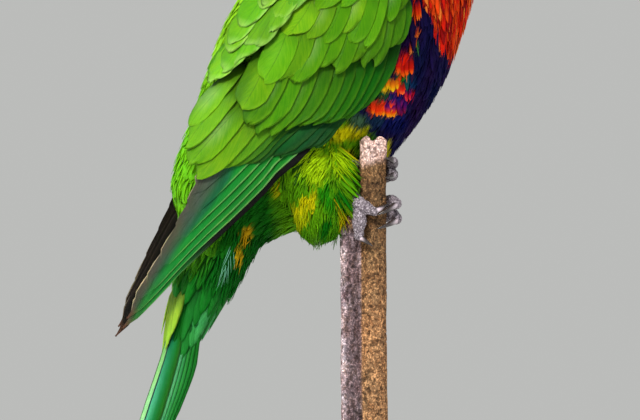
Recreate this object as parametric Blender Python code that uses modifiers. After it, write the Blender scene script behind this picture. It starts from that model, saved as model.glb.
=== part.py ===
"""A rainbow lorikeet clinging to a short cut stem, as a still, life-size display model.

Named sizes are in millimetres and pass through MM on their way into a mesh.
X points ahead of the bird, Y to its left and Z up.  The origin is the centre of the
underside of the display base, and the bird's middle plane is Y = 0.
"""
import math
import random

import bmesh
import bpy
import numpy as np
from mathutils import Matrix, Vector
from mathutils.bvhtree import BVHTree

MM = 0.001
TURN = 2 * math.pi
GAP = 0.3  # clearance between neighbouring pieces
SMOOTH_ANGLE = math.radians(40)

# Body, from vent to bill: back x, z, then breast x, z, half width, and how far the
# breast side of the section narrows
BODY = [
    (-44.4, 137.6, -16.2, 127.4, 11.0, 0.10),
    (-46.8, 146.0, -8.0, 131.0, 14.0, 0.16),
    (-44.3, 157.0, 5.0, 134.5, 17.5, 0.24),
    (-39.5, 168.5, 17.0, 142.5, 20.5, 0.26),
    (-34.2, 184.0, 29.5, 158.0, 22.5, 0.20),
    (-28.0, 199.5, 41.5, 173.0, 23.2, 0.12),
    (-19.5, 213.5, 50.5, 193.0, 23.4, 0.06),
    (-9.5, 226.5, 56.0, 212.0, 22.3, 0.02),
    (1.0, 238.0, 54.5, 227.0, 19.6, 0.00),
    (8.5, 248.0, 50.5, 237.0, 17.0, 0.00),
    (12.2, 256.2, 48.4, 239.8, 15.6, 0.00),
    (17.8, 263.4, 47.5, 240.4, 14.7, 0.02),
    (26.8, 268.4, 47.2, 240.8, 13.9, 0.04),
    (36.6, 268.4, 47.3, 241.1, 12.6, 0.06),
    (44.0, 264.4, 47.5, 241.4, 10.0, 0.08),
    (48.3, 258.3, 47.6, 241.8, 6.8, 0.08),
]
TORSO_RINGS = (0, 7)
NECK_RINGS = (7, 9)
HEAD_RINGS = (9, 15)
BODY_SIDES = 26
BODY_STEPS = 2

# Tail: a straight axis that hangs back and down from the rump
TAIL_ROOT = Vector((-30.3, 0.0, 132.5))
TAIL_AXIS = Vector((-0.339, 0.0, -0.941)).normalized()
TAIL_UP = Vector((-0.941, 0.0, 0.339)).normalized()
# Distance down the tail, half depth, half width of the coverts
TAIL_COVERTS = [
    (0.0, 15.0, 11.0),
    (12.0, 12.8, 11.2),
    (24.0, 10.2, 11.0),
    (36.0, 7.2, 10.2),
    (46.0, 4.2, 8.8),
    (54.0, 1.6, 6.0),
]
# Tail feathers of one side, from the middle one out
TAIL_LENGTHS = [126.0, 119.0, 109.0, 98.0, 87.0, 77.0]
TAIL_FEATHER_ROOT = 28.0
TAIL_FEATHER_WIDTH = 8.8
TAIL_FEATHER_STEP = 0.35  # how much further out each feather starts
TAIL_TIER = 0.9  # how much lower each feather lies
TAIL_ROOF = 0.55  # how steeply the feathers fall away from the middle
TAIL_RIDGE = (64.0, 4.4, 0.055)  # distance down, height there, and fall after it

# Eye
EYE_X, EYE_Z = 38.0, 257.6
EYE_RADIUS = 4.5
EYE_BULGE = 1.3
LID_RADIUS = 3.9
LID_THICKNESS = 0.85
LID_DEPTH = 1.9  # how far the lids sit inside the outermost point of the eye

# Cere: top x, z, bottom x, z, half width
CERE = [
    (48.7, 258.8, 48.35, 248.8, 6.4),
    (49.6, 259.1, 49.35, 248.8, 6.5),
    (50.5, 258.4, 50.3, 248.8, 6.0),
]
NOSTRIL = Vector((49.6, 4.5, 257.7))
NOSTRIL_RADIUS = 0.8
# Upper bill: ridge x, z, cutting edge x, z, half width
BILL_UPPER = [
    (50.9, 257.9, 50.7, 248.8, 5.6),
    (54.0, 257.7, 52.7, 248.6, 5.2),
    (57.4, 256.2, 55.0, 247.9, 4.5),
    (60.3, 253.3, 57.1, 246.5, 3.7),
    (62.1, 249.7, 58.6, 244.8, 2.9),
    (62.6, 245.9, 59.5, 242.7, 2.0),
    (62.2, 242.3, 60.1, 240.9, 1.1),
    (60.9, 238.6, 60.5, 238.5, 0.3),
]
# Lower bill: mouth edge x, z, underside x, z, half width
BILL_LOWER = [
    (48.5, 248.0, 48.5, 242.2, 4.9),
    (50.6, 247.9, 50.8, 241.2, 4.6),
    (52.8, 247.6, 53.3, 240.6, 4.0),
    (54.8, 246.6, 55.6, 241.8, 3.0),
    (56.4, 245.2, 57.2, 243.5, 1.5),
    (57.1, 244.9, 57.4, 244.6, 0.4),
]
BILL_SIDES = 14

# Thigh of the right leg: centre x, y, z, half length, half width
THIGH = [
    (-8.0, -12.0, 170.0, 9.0, 5.0),
    (-6.5, -15.5, 160.0, 11.2, 7.0),
    (-4.4, -17.2, 149.0, 11.2, 7.4),
    (-2.6, -17.4, 139.5, 9.6, 6.4),
    (-2.2, -16.8, 131.8, 8.2, 5.0),
    (-3.6, -16.6, 127.8, 1.8, 1.4),
]
THIGH_SIDES = 16
# How far the foot end of the left thigh moves ahead, towards the stem and up
LEFT_THIGH_SHIFT = Vector((8.0, -5.0, 5.0))

# Folded wing: the bend of the wing, its direction, and heights above the side of the body
WING_BEND = (24.6, 212.5)
WING_ALONG = (-0.6226, -0.7825)
WING_ACROSS = (-0.7825, 0.6226)
SIDE_CLEARANCE = 0.9
SIDE_LEAST = 0.5
SIDE_STEP = 1.5
SIDE_BLURS = 10
SLOPE_STEP = 2.5
SIDE_X = (-80.0, 45.0)
SIDE_Z = (85.0, 240.0)
# Distance from the bend, and how far from the middle plane a free wing would lie
BLADE = [(-20, 17.0), (0, 19.0), (60, 17.5), (80, 15.0), (100, 11.0), (120, 6.5), (142, 3.2)]
BLADE_CURVE = 0.022
# The wing's pad under its feathers: distance from the bend, lower edge, upper edge, thickness
WING_PAD = [
    (-9.0, 5.0, 9.0, 2.0),
    (-5.0, -0.5, 15.5, 4.0),
    (5.0, -3.2, 19.5, 5.6),
    (15.0, -8.0, 21.0, 5.6),
    (27.0, -10.6, 21.0, 4.8),
    (38.0, -10.8, 21.5, 4.0),
    (50.0, -8.4, 21.0, 3.2),
    (62.0, -7.4, 18.0, 2.4),
    (72.0, -6.0, 12.0, 1.4),
]
WING_POINTS = 6
PAD_EDGE = 0.3  # share of its thickness that the pad keeps at its edges

# Wing feathers, each tier from its lowest feather up: first and last root, tips,
# width, height of the middle over the side of the body, and extra height from each
# feather to the next by their tips.  Places are distances along and across the wing.
PRIMARIES = ((60.0, -4.6), (60.0, 8.4),
             [(142.0, 0.2), (136.0, 3.0), (127.0, 5.2), (116.5, 7.6), (105.0, 10.2)],
             6.4, 1.1, 0.3)
SECONDARIES = ((41.0, -7.6), (44.0, 17.0),
               [(56.5, -8.0), (64.0, -4.4), (71.5, -0.4), (78.0, 4.0), (84.5, 8.6),
                (92.7, 12.8), (85.0, 18.2), (72.0, 22.6)],
               8.6, 3.1, 0.0)
GREATER_COVERTS = ((22.0, -7.6), (34.0, 16.0),
                   [(40.5, -11.6), (46.5, -9.0), (53.0, -5.6), (58.5, 0.0), (64.0, 4.6),
                    (70.5, 9.8), (64.0, 16.6)],
                   9.2, 5.0, 0.0)
MEDIAN_COVERTS = ((11.0, -2.6), (22.0, 14.0),
                  [(29.0, -8.4), (35.5, -3.6), (43.0, 2.2), (46.0, 9.2), (42.5, 16.0)],
                  9.6, 6.8, 0.0)

# A feather: thickness, then share of its length and of its width at each station
FEATHER_THICKNESS = 0.55
FEATHER_STEP = 0.85  # height between the faces of one feather and the next in its tier
LONG_FEATHER = [(0.0, 0.6), (0.35, 0.95), (0.7, 1.0), (0.92, 0.6), (1.0, 0.14)]
ROUND_FEATHER = [(0.0, 0.6), (0.35, 0.95), (0.7, 1.0), (0.92, 0.7), (1.0, 0.25)]
ROOT_SHARE = 0.3  # share of its length over which a feather rises from its root
TIP_THIN = 0.6  # thickness of the tip as a share of the rest
# The far wing: its upper feathers lie lower than the near wing's and its tip reaches further
FAR_TUCK = (6.0, 0.5)  # distance across beyond which it is drawn in, and by what share
FAR_TIP = (100.0, 0.05, 0.048)  # distance along beyond which it is drawn out and down

# Stem that the bird holds, and the second stem that joins it lower down
STEM = Vector((14.5, -19.0, 0.0))
STEM_RADIUS = 4.0
STEM_TOP = 161.0
FORK = Vector((7.2, -17.6, 0.0))
FORK_RADIUS = 3.1
FORK_TOP = 137.0
PERCH_FOOT = 58.0
STEM_LEAN = (-0.4, 1.2)  # how far its foot leans along X, and how much wider it is
FORK_LEAN = (1.5, 1.3)
FORK_STEP = 0.02  # how far the foot of the second stem reaches below the first
STEM_SIDES = 12
STEM_RINGS = 14
STEM_ROUGHNESS = 0.25
STEM_FLARE = 0.09  # how much wider the stems get just under their broken tops
STEM_FLARE_POWER = 8  # how close under the top they widen
STEM_BREAK = (-1.6, 1.0)  # how far the broken edge dips and rises
STEM_BREAK_WIDTH = 0.86

# Toes: radius at each of their points
TOE_RADII = [2.5, 2.2, 2.4, 2.0, 2.2, 1.8, 1.3]
CLAW_RADII = [1.0, 0.95, 0.75, 0.5, 0.2]
# How far each claw goes on round the stem, in degrees, and how far it rises
RIGHT_CLAWS = [(52.0, 2.6), (-62.0, -3.4), (-66.0, -2.8), (34.0, -3.0)]
LEFT_CLAWS = [(-46.0, 1.0), (-46.0, -1.0), (34.0, 0.6), (34.0, -1.0)]
HUB_RADIUS = 2.8
TARSUS_RADIUS = 2.3
CAMERA_SIDE = -110.0  # direction from the stem, in degrees, that the near side faces

# Display stand
BASE_RADIUS = 60.0
BASE_HEIGHT = 8.0
BASE_EDGE = 1.2
ROD_RADIUS = 3.2
ROD_PLACE = Vector((12.4, -18.6, 0.0))


def material(name, colour, roughness, metallic=0.0):
    made = bpy.data.materials.new(name)
    made.use_nodes = True
    shader = made.node_tree.nodes["Principled BSDF"]
    shader.inputs["Base Color"].default_value = (*colour, 1.0)
    shader.inputs["Roughness"].default_value = roughness
    shader.inputs["Metallic"].default_value = metallic
    made.diffuse_color = (*colour, 1.0)
    return made


def make_materials():
    return {
        "back_green": material("back_green", (0.10, 0.36, 0.02), 0.55),
        "wing_green": material("wing_green", (0.07, 0.32, 0.02), 0.5),
        "tail_green": material("tail_green", (0.03, 0.27, 0.06), 0.5),
        "leg_green": material("leg_green", (0.14, 0.33, 0.02), 0.6),
        "neck_orange": material("neck_orange", (0.70, 0.10, 0.02), 0.6),
        "head_blue": material("head_blue", (0.05, 0.06, 0.35), 0.55),
        "iris_red": material("iris_red", (0.55, 0.05, 0.02), 0.1),
        "cere_grey": material("cere_grey", (0.05, 0.045, 0.05), 0.55),
        "bill_red": material("bill_red", (0.75, 0.09, 0.03), 0.3),
        "foot_grey": material("foot_grey", (0.22, 0.20, 0.22), 0.65),
        "claw_dark": material("claw_dark", (0.07, 0.06, 0.06), 0.35),
        "bark": material("bark", (0.32, 0.20, 0.12), 0.85),
        "rod_steel": material("rod_steel", (0.5, 0.5, 0.5), 0.35, 1.0),
        "base_black": material("base_black", (0.03, 0.03, 0.03), 0.5),
    }


def smooth_rows(rows, steps):
    """Rows of numbers with steps - 1 more between each pair, on a smooth curve."""
    rows = [np.array(row, dtype=float) for row in rows]
    last = len(rows) - 1
    result = []
    for i in range(last):
        before, here = rows[max(i - 1, 0)], rows[i]
        there, after = rows[i + 1], rows[min(i + 2, last)]
        for k in range(steps):
            f = k / steps
            result.append(
                0.5 * (2 * here + (there - before) * f
                       + (2 * before - 5 * here + 4 * there - after) * f ** 2
                       + (3 * here - before - 3 * there + after) * f ** 3)
            )
    result.append(rows[last])
    return result


def ring_between(top, bottom, half_width, sides, narrowing=0.0, square=1.0):
    """Points round a section whose ends are top and bottom, in the plane through Y."""
    middle = (top + bottom) / 2
    up = (top - bottom) / 2
    points = []
    for i in range(sides):
        angle = TURN * i / sides
        narrow = 1 - narrowing * (1 - math.cos(angle)) / 2
        reach = math.copysign(abs(math.sin(angle)) ** square, math.sin(angle))
        side = half_width * narrow * reach
        points.append(middle + up * math.cos(angle) + Vector((0, side, 0)))
    return points


def loft(rings):
    """A closed body through rings of equal count, with flat ends."""
    bm = bmesh.new()
    rows = [[bm.verts.new(point) for point in ring] for ring in rings]
    count = len(rows[0])
    for low, high in zip(rows, rows[1:]):
        for i in range(count):
            j = (i + 1) % count
            bm.faces.new((low[i], low[j], high[j], high[i]))
    bm.faces.new(rows[0])
    bm.faces.new(rows[-1])
    bmesh.ops.recalc_face_normals(bm, faces=bm.faces)
    return bm


def to_object(name, bm, collection, paint=None):
    """Put a mesh drawn in millimetres into a collection, in metres."""
    mesh = bpy.data.meshes.new(name)
    bmesh.ops.scale(bm, vec=(MM, MM, MM), verts=bm.verts)
    bm.to_mesh(mesh)
    bm.free()
    made = bpy.data.objects.new(name, mesh)
    collection.objects.link(made)
    if paint is not None:
        mesh.materials.append(paint)
    return made


def apply_modifiers(thing):
    graph = bpy.context.evaluated_depsgraph_get()
    mesh = bpy.data.meshes.new_from_object(thing.evaluated_get(graph))
    thing.modifiers.clear()
    thing.data = mesh


def combine(thing, others, operation, solver="EXACT"):
    """Join the other objects to this one or cut them out of it, and remove them."""
    group = bpy.data.collections.new("operands")
    bpy.context.scene.collection.children.link(group)
    for other in others:
        for holder in list(other.users_collection):
            holder.objects.unlink(other)
        group.objects.link(other)
    modifier = thing.modifiers.new("Combine", "BOOLEAN")
    modifier.operation = operation
    modifier.operand_type = "COLLECTION"
    modifier.collection = group
    modifier.solver = solver
    apply_modifiers(thing)
    for other in others:
        bpy.data.objects.remove(other)
    bpy.data.collections.remove(group)
    keep_largest(thing)


def keep_largest(thing):
    """Leave only the largest closed surface of an object."""
    bm = bmesh.new()
    bm.from_mesh(thing.data)
    todo = set(bm.faces)
    islands = []
    while todo:
        edge_of_island = [todo.pop()]
        island = list(edge_of_island)
        while edge_of_island:
            face = edge_of_island.pop()
            for edge in face.edges:
                for near in edge.link_faces:
                    if near in todo:
                        todo.remove(near)
                        island.append(near)
                        edge_of_island.append(near)
        islands.append(island)
    islands.sort(key=island_volume)
    loose = [face for island in islands[:-1] for face in island]
    bmesh.ops.delete(bm, geom=loose, context="FACES")
    bm.to_mesh(thing.data)
    bm.free()


def island_volume(faces):
    total = 0.0
    for face in faces:
        first = face.verts[0].co
        for one, two in zip(face.verts[1:], face.verts[2:]):
            total += first.dot(one.co.cross(two.co))
    return abs(total)


def grown(thing, distance):
    """A copy of an object whose surface lies a distance outside it, for cutting."""
    mesh = thing.data.copy()
    bm = bmesh.new()
    bm.from_mesh(mesh)
    bmesh.ops.triangulate(bm, faces=bm.faces)
    bm.normal_update()
    shifts = [vert.normal * vert.calc_shell_factor() for vert in bm.verts]
    for vert, shift in zip(bm.verts, shifts):
        vert.co += shift * min(1.5 / max(shift.length, 1.0), 1.0) * distance * MM
    bm.to_mesh(mesh)
    bm.free()
    copy = bpy.data.objects.new(thing.name + "_clearance", mesh)
    bpy.context.scene.collection.objects.link(copy)
    return copy


def tube(name, points, radii, collection, resolution=2):
    """A round bar of changing radius through points, as a welded mesh."""
    curve = bpy.data.curves.new(name, "CURVE")
    curve.dimensions = "3D"
    curve.bevel_depth = MM
    curve.bevel_resolution = resolution
    curve.use_fill_caps = True
    spline = curve.splines.new("POLY")
    spline.points.add(len(points) - 1)
    for slot, point, radius in zip(spline.points, points, radii):
        slot.co = (*(point * MM), 1.0)
        slot.radius = radius
    guide = bpy.data.objects.new(name + "_line", curve)
    bpy.context.scene.collection.objects.link(guide)
    graph = bpy.context.evaluated_depsgraph_get()
    mesh = bpy.data.meshes.new_from_object(guide.evaluated_get(graph))
    bpy.data.objects.remove(guide)
    bm = bmesh.new()
    bm.from_mesh(mesh)
    bmesh.ops.remove_doubles(bm, verts=bm.verts, dist=0.00001)
    bmesh.ops.recalc_face_normals(bm, faces=bm.faces)
    bm.to_mesh(mesh)
    bm.free()
    made = bpy.data.objects.new(name, mesh)
    collection.objects.link(made)
    return made


def body_rings():
    """Every ring of the body, from the vent to the bill."""
    rings = []
    for dx, dz, vx, vz, half_width, narrowing in smooth_rows(BODY, BODY_STEPS):
        back, breast = Vector((dx, 0, dz)), Vector((vx, 0, vz))
        rings.append(ring_between(back, breast, half_width, BODY_SIDES, narrowing))
    return rings


def part_plane(station):
    """Middle and forward direction of the thin cut at one station of the body."""
    dx, dz, vx, vz = BODY[station][:4]
    middle = Vector(((dx + vx) / 2, 0, (dz + vz) / 2))
    across = Vector((vx - dx, 0, vz - dz)).normalized()
    return middle, Vector((-across.z, 0, across.x))


def body_part(name, rings, span, collection, paint):
    """One length of the body, drawn half a gap short of each cut."""
    first, last = span
    pieces = rings[first * BODY_STEPS:last * BODY_STEPS + 1]
    bm = loft(pieces)
    ends = [(first, 1.0)] if first > 0 else []
    if last < len(BODY) - 1:
        ends.append((last, -1.0))
    for station, inward in ends:
        middle, forward = part_plane(station)
        near = middle + forward * inward * GAP / 2
        cut = bmesh.ops.bisect_plane(
            bm, geom=bm.verts[:] + bm.edges[:] + bm.faces[:], plane_co=near,
            plane_no=forward * inward, clear_inner=True)
        rim = [item for item in cut["geom_cut"] if isinstance(item, bmesh.types.BMEdge)]
        bmesh.ops.contextual_create(bm, geom=rim)
    bmesh.ops.recalc_face_normals(bm, faces=bm.faces)
    return to_object(name, bm, collection, paint)


def tail_ring(distance, half_depth, half_width, sides):
    middle = TAIL_ROOT + TAIL_AXIS * distance
    up = TAIL_UP * half_depth
    return ring_between(middle + up, middle - up, half_width, sides)


def tail_core():
    """The closed form of the tail coverts, from just behind the body."""
    rings = []
    for distance, half_depth, half_width in smooth_rows(TAIL_COVERTS, 2):
        rings.append(tail_ring(max(distance, GAP), half_depth, half_width, BODY_SIDES))
    return loft(rings)


def feather(stations):
    """A thin closed vane through stations of left, middle and right points and a thickness.

    Its two faces are split into triangles alike.
    """
    bm = bmesh.new()
    upper, lower = [], []
    for points, outward, thickness in stations:
        half = outward * thickness / 2
        upper.append([bm.verts.new(point + half) for point in points])
        lower.append([bm.verts.new(point - half) for point in points])
    for one, two in zip(range(len(upper)), range(1, len(upper))):
        for a, b in ((0, 1), (1, 2)):
            for face in (upper, lower):
                bm.faces.new((face[one][a], face[one][b], face[two][b]))
                bm.faces.new((face[one][a], face[two][b], face[two][a]))
        for a in (0, 2):
            bm.faces.new((upper[one][a], upper[two][a], lower[two][a], lower[one][a]))
    for end in (0, -1):
        for a, b in ((0, 1), (1, 2)):
            bm.faces.new((upper[end][a], upper[end][b], lower[end][b], lower[end][a]))
    bmesh.ops.recalc_face_normals(bm, faces=bm.faces)
    return bm


def tail_feather(order, side):
    """One tail feather, counted from the middle pair out, on the left or the right."""
    length = TAIL_LENGTHS[order]
    inner = 0.25 + TAIL_FEATHER_STEP * order
    start, ridge, fall = TAIL_RIDGE
    stations = []
    for share, wide in LONG_FEATHER:
        down = TAIL_FEATHER_ROOT + (length - TAIL_FEATHER_ROOT) * share
        points = []
        for k in range(3):
            reach = inner + TAIL_FEATHER_WIDTH * wide * k / 2
            height = ridge - (down - start) * fall - TAIL_ROOF * reach - TAIL_TIER * order
            points.append(TAIL_ROOT + TAIL_AXIS * down + TAIL_UP * height
                          + Vector((0, side * reach, 0)))
        outward = (TAIL_UP + Vector((0, side * TAIL_ROOF, 0))).normalized()
        stations.append((points, outward, FEATHER_THICKNESS * (TIP_THIN if share == 1.0 else 1.0)))
    return feather(stations)


def make_tail(collection, paint):
    tail = to_object("tail", tail_core(), collection, paint)
    feathers = []
    for order in range(len(TAIL_LENGTHS)):
        for side in (1, -1):
            feathers.append(to_object("feather", tail_feather(order, side), collection))
    combine(tail, feathers, "UNION")
    return tail


def thigh_form(left):
    rings = []
    rows = smooth_rows(THIGH, 2)
    for k, (x, y, z, half_length, half_width) in enumerate(rows):
        share = k / (len(rows) - 1)
        middle = Vector((x, -y, z)) + LEFT_THIGH_SHIFT * share if left else Vector((x, y, z))
        ring = []
        for i in range(THIGH_SIDES):
            angle = TURN * i / THIGH_SIDES
            reach = Vector((half_length * math.cos(angle), half_width * math.sin(angle), 0))
            ring.append(middle + reach)
        rings.append(ring)
    return loft(rings)


class BodySide:
    """How far from the middle plane a folded wing lies, over the side of the body."""

    def __init__(self, things):
        self.far = False
        trees = []
        for thing in things:
            bm = bmesh.new()
            bm.from_mesh(thing.data)
            trees.append(BVHTree.FromBMesh(bm))
            bm.free()
        self.across = np.arange(SIDE_X[0], SIDE_X[1] + SIDE_STEP, SIDE_STEP)
        self.up = np.arange(SIDE_Z[0], SIDE_Z[1] + SIDE_STEP, SIDE_STEP)
        body = np.zeros((len(self.across), len(self.up)))
        blade = np.zeros_like(body)
        for i, x in enumerate(self.across):
            for k, z in enumerate(self.up):
                for side in (1, -1):
                    start = Vector((x, side * 100.0, z)) * MM
                    hits = [tree.ray_cast(start, Vector((0, -side, 0)))[0] for tree in trees]
                    reach = [side * hit.y / MM for hit in hits if hit is not None]
                    body[i, k] = max(reach + [body[i, k]])
                blade[i, k] = self.blade(x, z)
        surface = np.maximum(body + SIDE_CLEARANCE, blade)
        for _ in range(SIDE_BLURS):
            surface = self.blur(surface)
        widest = body.copy()
        for axis in (0, 1):
            for shift in (-1, 1):
                widest = np.maximum(widest, np.roll(body, shift, axis))
        self.surface = np.maximum(surface, widest + SIDE_LEAST)

    @staticmethod
    def blade(x, z):
        s, t = wing_place(x, z)
        reach = np.interp(s, [row[0] for row in BLADE], [row[1] for row in BLADE])
        return max(reach - BLADE_CURVE * max(t, 0.0) ** 2, 1.6)

    @staticmethod
    def blur(surface):
        padded = np.pad(surface, 1, mode="edge")
        rows = (padded[:-2] + 2 * padded[1:-1] + padded[2:]) / 4
        return (rows[:, :-2] + 2 * rows[:, 1:-1] + rows[:, 2:]) / 4

    def reach(self, x, z):
        i = np.clip((x - SIDE_X[0]) / SIDE_STEP, 0, len(self.across) - 1.001)
        k = np.clip((z - SIDE_Z[0]) / SIDE_STEP, 0, len(self.up) - 1.001)
        i0, k0 = int(i), int(k)
        fi, fk = i - i0, k - k0
        near = self.surface[i0, k0] * (1 - fk) + self.surface[i0, k0 + 1] * fk
        far = self.surface[i0 + 1, k0] * (1 - fk) + self.surface[i0 + 1, k0 + 1] * fk
        return near * (1 - fi) + far * fi

    def lay(self, s, t, height):
        """The point s along the left wing and t across it, a height above the side."""
        if self.far:
            t -= FAR_TUCK[1] * max(t - FAR_TUCK[0], 0.0) + FAR_TIP[2] * max(s - FAR_TIP[0], 0.0)
            s += FAR_TIP[1] * max(s - FAR_TIP[0], 0.0)
        x = WING_BEND[0] + WING_ALONG[0] * s + WING_ACROSS[0] * t
        z = WING_BEND[1] + WING_ALONG[1] * s + WING_ACROSS[1] * t
        step = SLOPE_STEP
        slope_x = (self.reach(x + step, z) - self.reach(x - step, z)) / (2 * step)
        slope_z = (self.reach(x, z + step) - self.reach(x, z - step)) / (2 * step)
        outward = Vector((-slope_x, 1.0, -slope_z)).normalized()
        return Vector((x, self.reach(x, z), z)) + outward * height


def wing_place(x, z):
    """Distances along and across the wing of a point in the middle plane."""
    dx, dz = x - WING_BEND[0], z - WING_BEND[1]
    return (dx * WING_ALONG[0] + dz * WING_ALONG[1],
            dx * WING_ACROSS[0] + dz * WING_ACROSS[1])


def pad_crown(share):
    """Share of the pad's thickness at a share of the way from its lower to its upper edge."""
    inside = min(max(share, 0.0), 1.0)
    return PAD_EDGE + (1 - PAD_EDGE) * math.sqrt(max(math.sin(math.pi * inside), 0.0))


def pad_height(s, t):
    """How thick the wing's pad is at a place along and across the wing."""
    along = [row[0] for row in WING_PAD]
    low, high, thickness = (np.interp(s, along, [row[k] for row in WING_PAD]) for k in (1, 2, 3))
    return thickness * pad_crown((t - low) / (high - low))


def wing_pad(side):
    """A pad over the side of the body, thickest in its middle."""
    rings = []
    for s, low, high, thickness in smooth_rows(WING_PAD, 2):
        inner, outer = [], []
        for k in range(WING_POINTS):
            share = k / (WING_POINTS - 1)
            t = low + (high - low) * share
            inner.append(side.lay(s, t, 0.0))
            outer.append(side.lay(s, t, thickness * pad_crown(share)))
        rings.append(inner + outer[::-1])
    return loft(rings)


def wing_feather(side, root, tip, width, level, rise, pitch, shape):
    """One feather laid over the side of the body, its lower edge raised over the last one."""
    length = math.dist(root, tip)
    ahead = ((tip[0] - root[0]) / length, (tip[1] - root[1]) / length)
    rooted = 0.5 * pad_height(*root)
    tilt = FEATHER_STEP / pitch
    stations = []
    for share, wide in shape:
        s = root[0] + ahead[0] * length * share
        t = root[1] + ahead[1] * length * share
        free = min(share / ROOT_SHARE, 1.0)
        middle = rooted + (level + rise * share - rooted) * free
        points = []
        for k in (-1, 0, 1):
            reach = k * wide * width / 2
            points.append(side.lay(s - ahead[1] * reach, t + ahead[0] * reach,
                                   middle - tilt * reach * free))
        outward = (points[2] - points[0]).cross(side.lay(s + 1, t, middle) - points[1])
        outward = outward.normalized() * math.copysign(1.0, outward.y)
        stations.append((points, outward, FEATHER_THICKNESS * (TIP_THIN if share == 1.0 else 1.0)))
    return feather(stations)


def wing_tier(side, tier, shape):
    """Every feather of one tier."""
    first, last, tips, width, level, rise = tier
    feathers = []
    steps = len(tips) - 1
    pitch = 0.5 * (math.dist(first, last) + math.dist(tips[0], tips[-1])) / steps
    pitch = min(pitch, math.dist(first, last) / steps)
    for k, tip in enumerate(tips):
        share = k / steps
        root = (first[0] + (last[0] - first[0]) * share, first[1] + (last[1] - first[1]) * share)
        feathers.append(wing_feather(side, root, tip, width, level, rise * k, pitch, shape))
    return feathers


def make_wing(name, side, bodies, collection, paint):
    """Pad and feathers of one wing, cut clear of the body under it."""
    side.far = name == "wing_left"
    tiers = [(PRIMARIES, LONG_FEATHER), (SECONDARIES, ROUND_FEATHER),
             (GREATER_COVERTS, ROUND_FEATHER), (MEDIAN_COVERTS, ROUND_FEATHER)]
    forms = [wing_pad(side)]
    for tier, shape in tiers:
        forms += wing_tier(side, tier, shape)
    if not side.far:
        for form in forms:
            bmesh.ops.scale(form, vec=(1, -1, 1), verts=form.verts)
            bmesh.ops.reverse_faces(form, faces=form.faces)
    wing = to_object(name, forms[0], collection, paint)
    combine(wing, [to_object("feather", form, collection) for form in forms[1:]], "UNION")
    combine(wing, [grown(body, GAP) for body in bodies], "DIFFERENCE")


def stem_form(axis, radius, top, foot, lean, spread, draw):
    """An uneven upright stem with a broken top."""
    rings = []
    for k in range(STEM_RINGS):
        share = k / (STEM_RINGS - 1)
        height = foot + (top - foot) * share
        wide = radius * (1 + STEM_FLARE * share ** STEM_FLARE_POWER) + spread * (1 - share) ** 2
        shift = lean * (1 - share) ** 2
        ring = []
        for i in range(STEM_SIDES):
            angle = TURN * i / STEM_SIDES
            reach = wide + draw.uniform(-STEM_ROUGHNESS, STEM_ROUGHNESS)
            broken = 0.0
            if k == STEM_RINGS - 1:
                reach *= STEM_BREAK_WIDTH
                broken = draw.uniform(*STEM_BREAK)
            ring.append(Vector((axis.x + shift + reach * math.cos(angle),
                                axis.y + reach * math.sin(angle), height + broken)))
        rings.append(ring)
    return loft(rings)


def make_perch(collection, paint):
    draw = random.Random(11)
    main = stem_form(STEM, STEM_RADIUS, STEM_TOP, PERCH_FOOT, *STEM_LEAN, draw)
    perch = to_object("perch", main, collection, paint)
    second = stem_form(FORK, FORK_RADIUS, FORK_TOP, PERCH_FOOT - FORK_STEP,
                       *FORK_LEAN, draw)
    fork = to_object("fork", second, collection)
    combine(perch, [fork], "UNION")
    return perch


def round_stem(angle, radius, height):
    """The point at an angle from the near side of the stem, in degrees."""
    turn = math.radians(angle + CAMERA_SIDE)
    return STEM + Vector((radius * math.cos(turn), radius * math.sin(turn), height))


def toe_line(start, end, low, high, count, clearance, extra=0.0):
    """Points of a toe wrapped round the stem from one angle and height to another."""
    points = []
    for k in range(count):
        share = k / (count - 1)
        angle = start + (end - start) * share
        height = low + (high - low) * share
        points.append(round_stem(angle, STEM_RADIUS + clearance + extra, height))
    return points


def make_foot(name, toes, hub, collection, paint):
    """The middle of the foot with its toes joined to it."""
    bm = bmesh.new()
    bmesh.ops.create_icosphere(bm, subdivisions=2, radius=HUB_RADIUS,
                               matrix=Matrix.Translation(hub))
    foot = to_object(name, bm, collection, paint)
    pieces = [tube("toe", toe, TOE_RADII[-len(toe):], collection) for toe in toes]
    combine(foot, pieces, "UNION")
    return foot


def make_claws(side, toes, sweeps, collection, paint):
    """A claw of its own at the end of each toe."""
    claws = []
    for number, (toe, (sweep, drop)) in enumerate(zip(toes, sweeps), start=1):
        claw = tube(f"claw_{side}_{number}", claw_line(toe, sweep, drop), CLAW_RADII, collection, 1)
        claw.data.materials.append(paint)
        claws.append(claw)
    return claws


def claw_line(toe, sweep, drop, inward=0.6):
    """Points of a claw that goes on round the stem from the end of a toe."""
    tip = toe[-1]
    offset = tip - STEM
    angle = math.degrees(math.atan2(offset.y, offset.x)) - CAMERA_SIDE
    radius = math.hypot(offset.x, offset.y)
    points = []
    for k in range(len(CLAW_RADII)):
        share = k / (len(CLAW_RADII) - 1)
        points.append(round_stem(angle + sweep * share, radius - inward * share,
                                 tip.z + drop * share))
    return points


def make_eye(name, centre, collection, paint):
    bm = bmesh.new()
    bmesh.ops.create_uvsphere(bm, u_segments=16, v_segments=10, radius=EYE_RADIUS)
    eye = to_object(name, bm, collection, paint)
    eye.location = centre * MM
    return eye


def eye_centre(head):
    """Where the left eye sits, read from the side of the head."""
    bm = bmesh.new()
    bm.from_mesh(head.data)
    tree = BVHTree.FromBMesh(bm)
    bm.free()
    start = Vector((EYE_X, 100.0, EYE_Z)) * MM
    hit = tree.ray_cast(start, Vector((0, -1, 0)))[0]
    return Vector((EYE_X, hit.y / MM - EYE_RADIUS + EYE_BULGE, EYE_Z))


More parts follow.
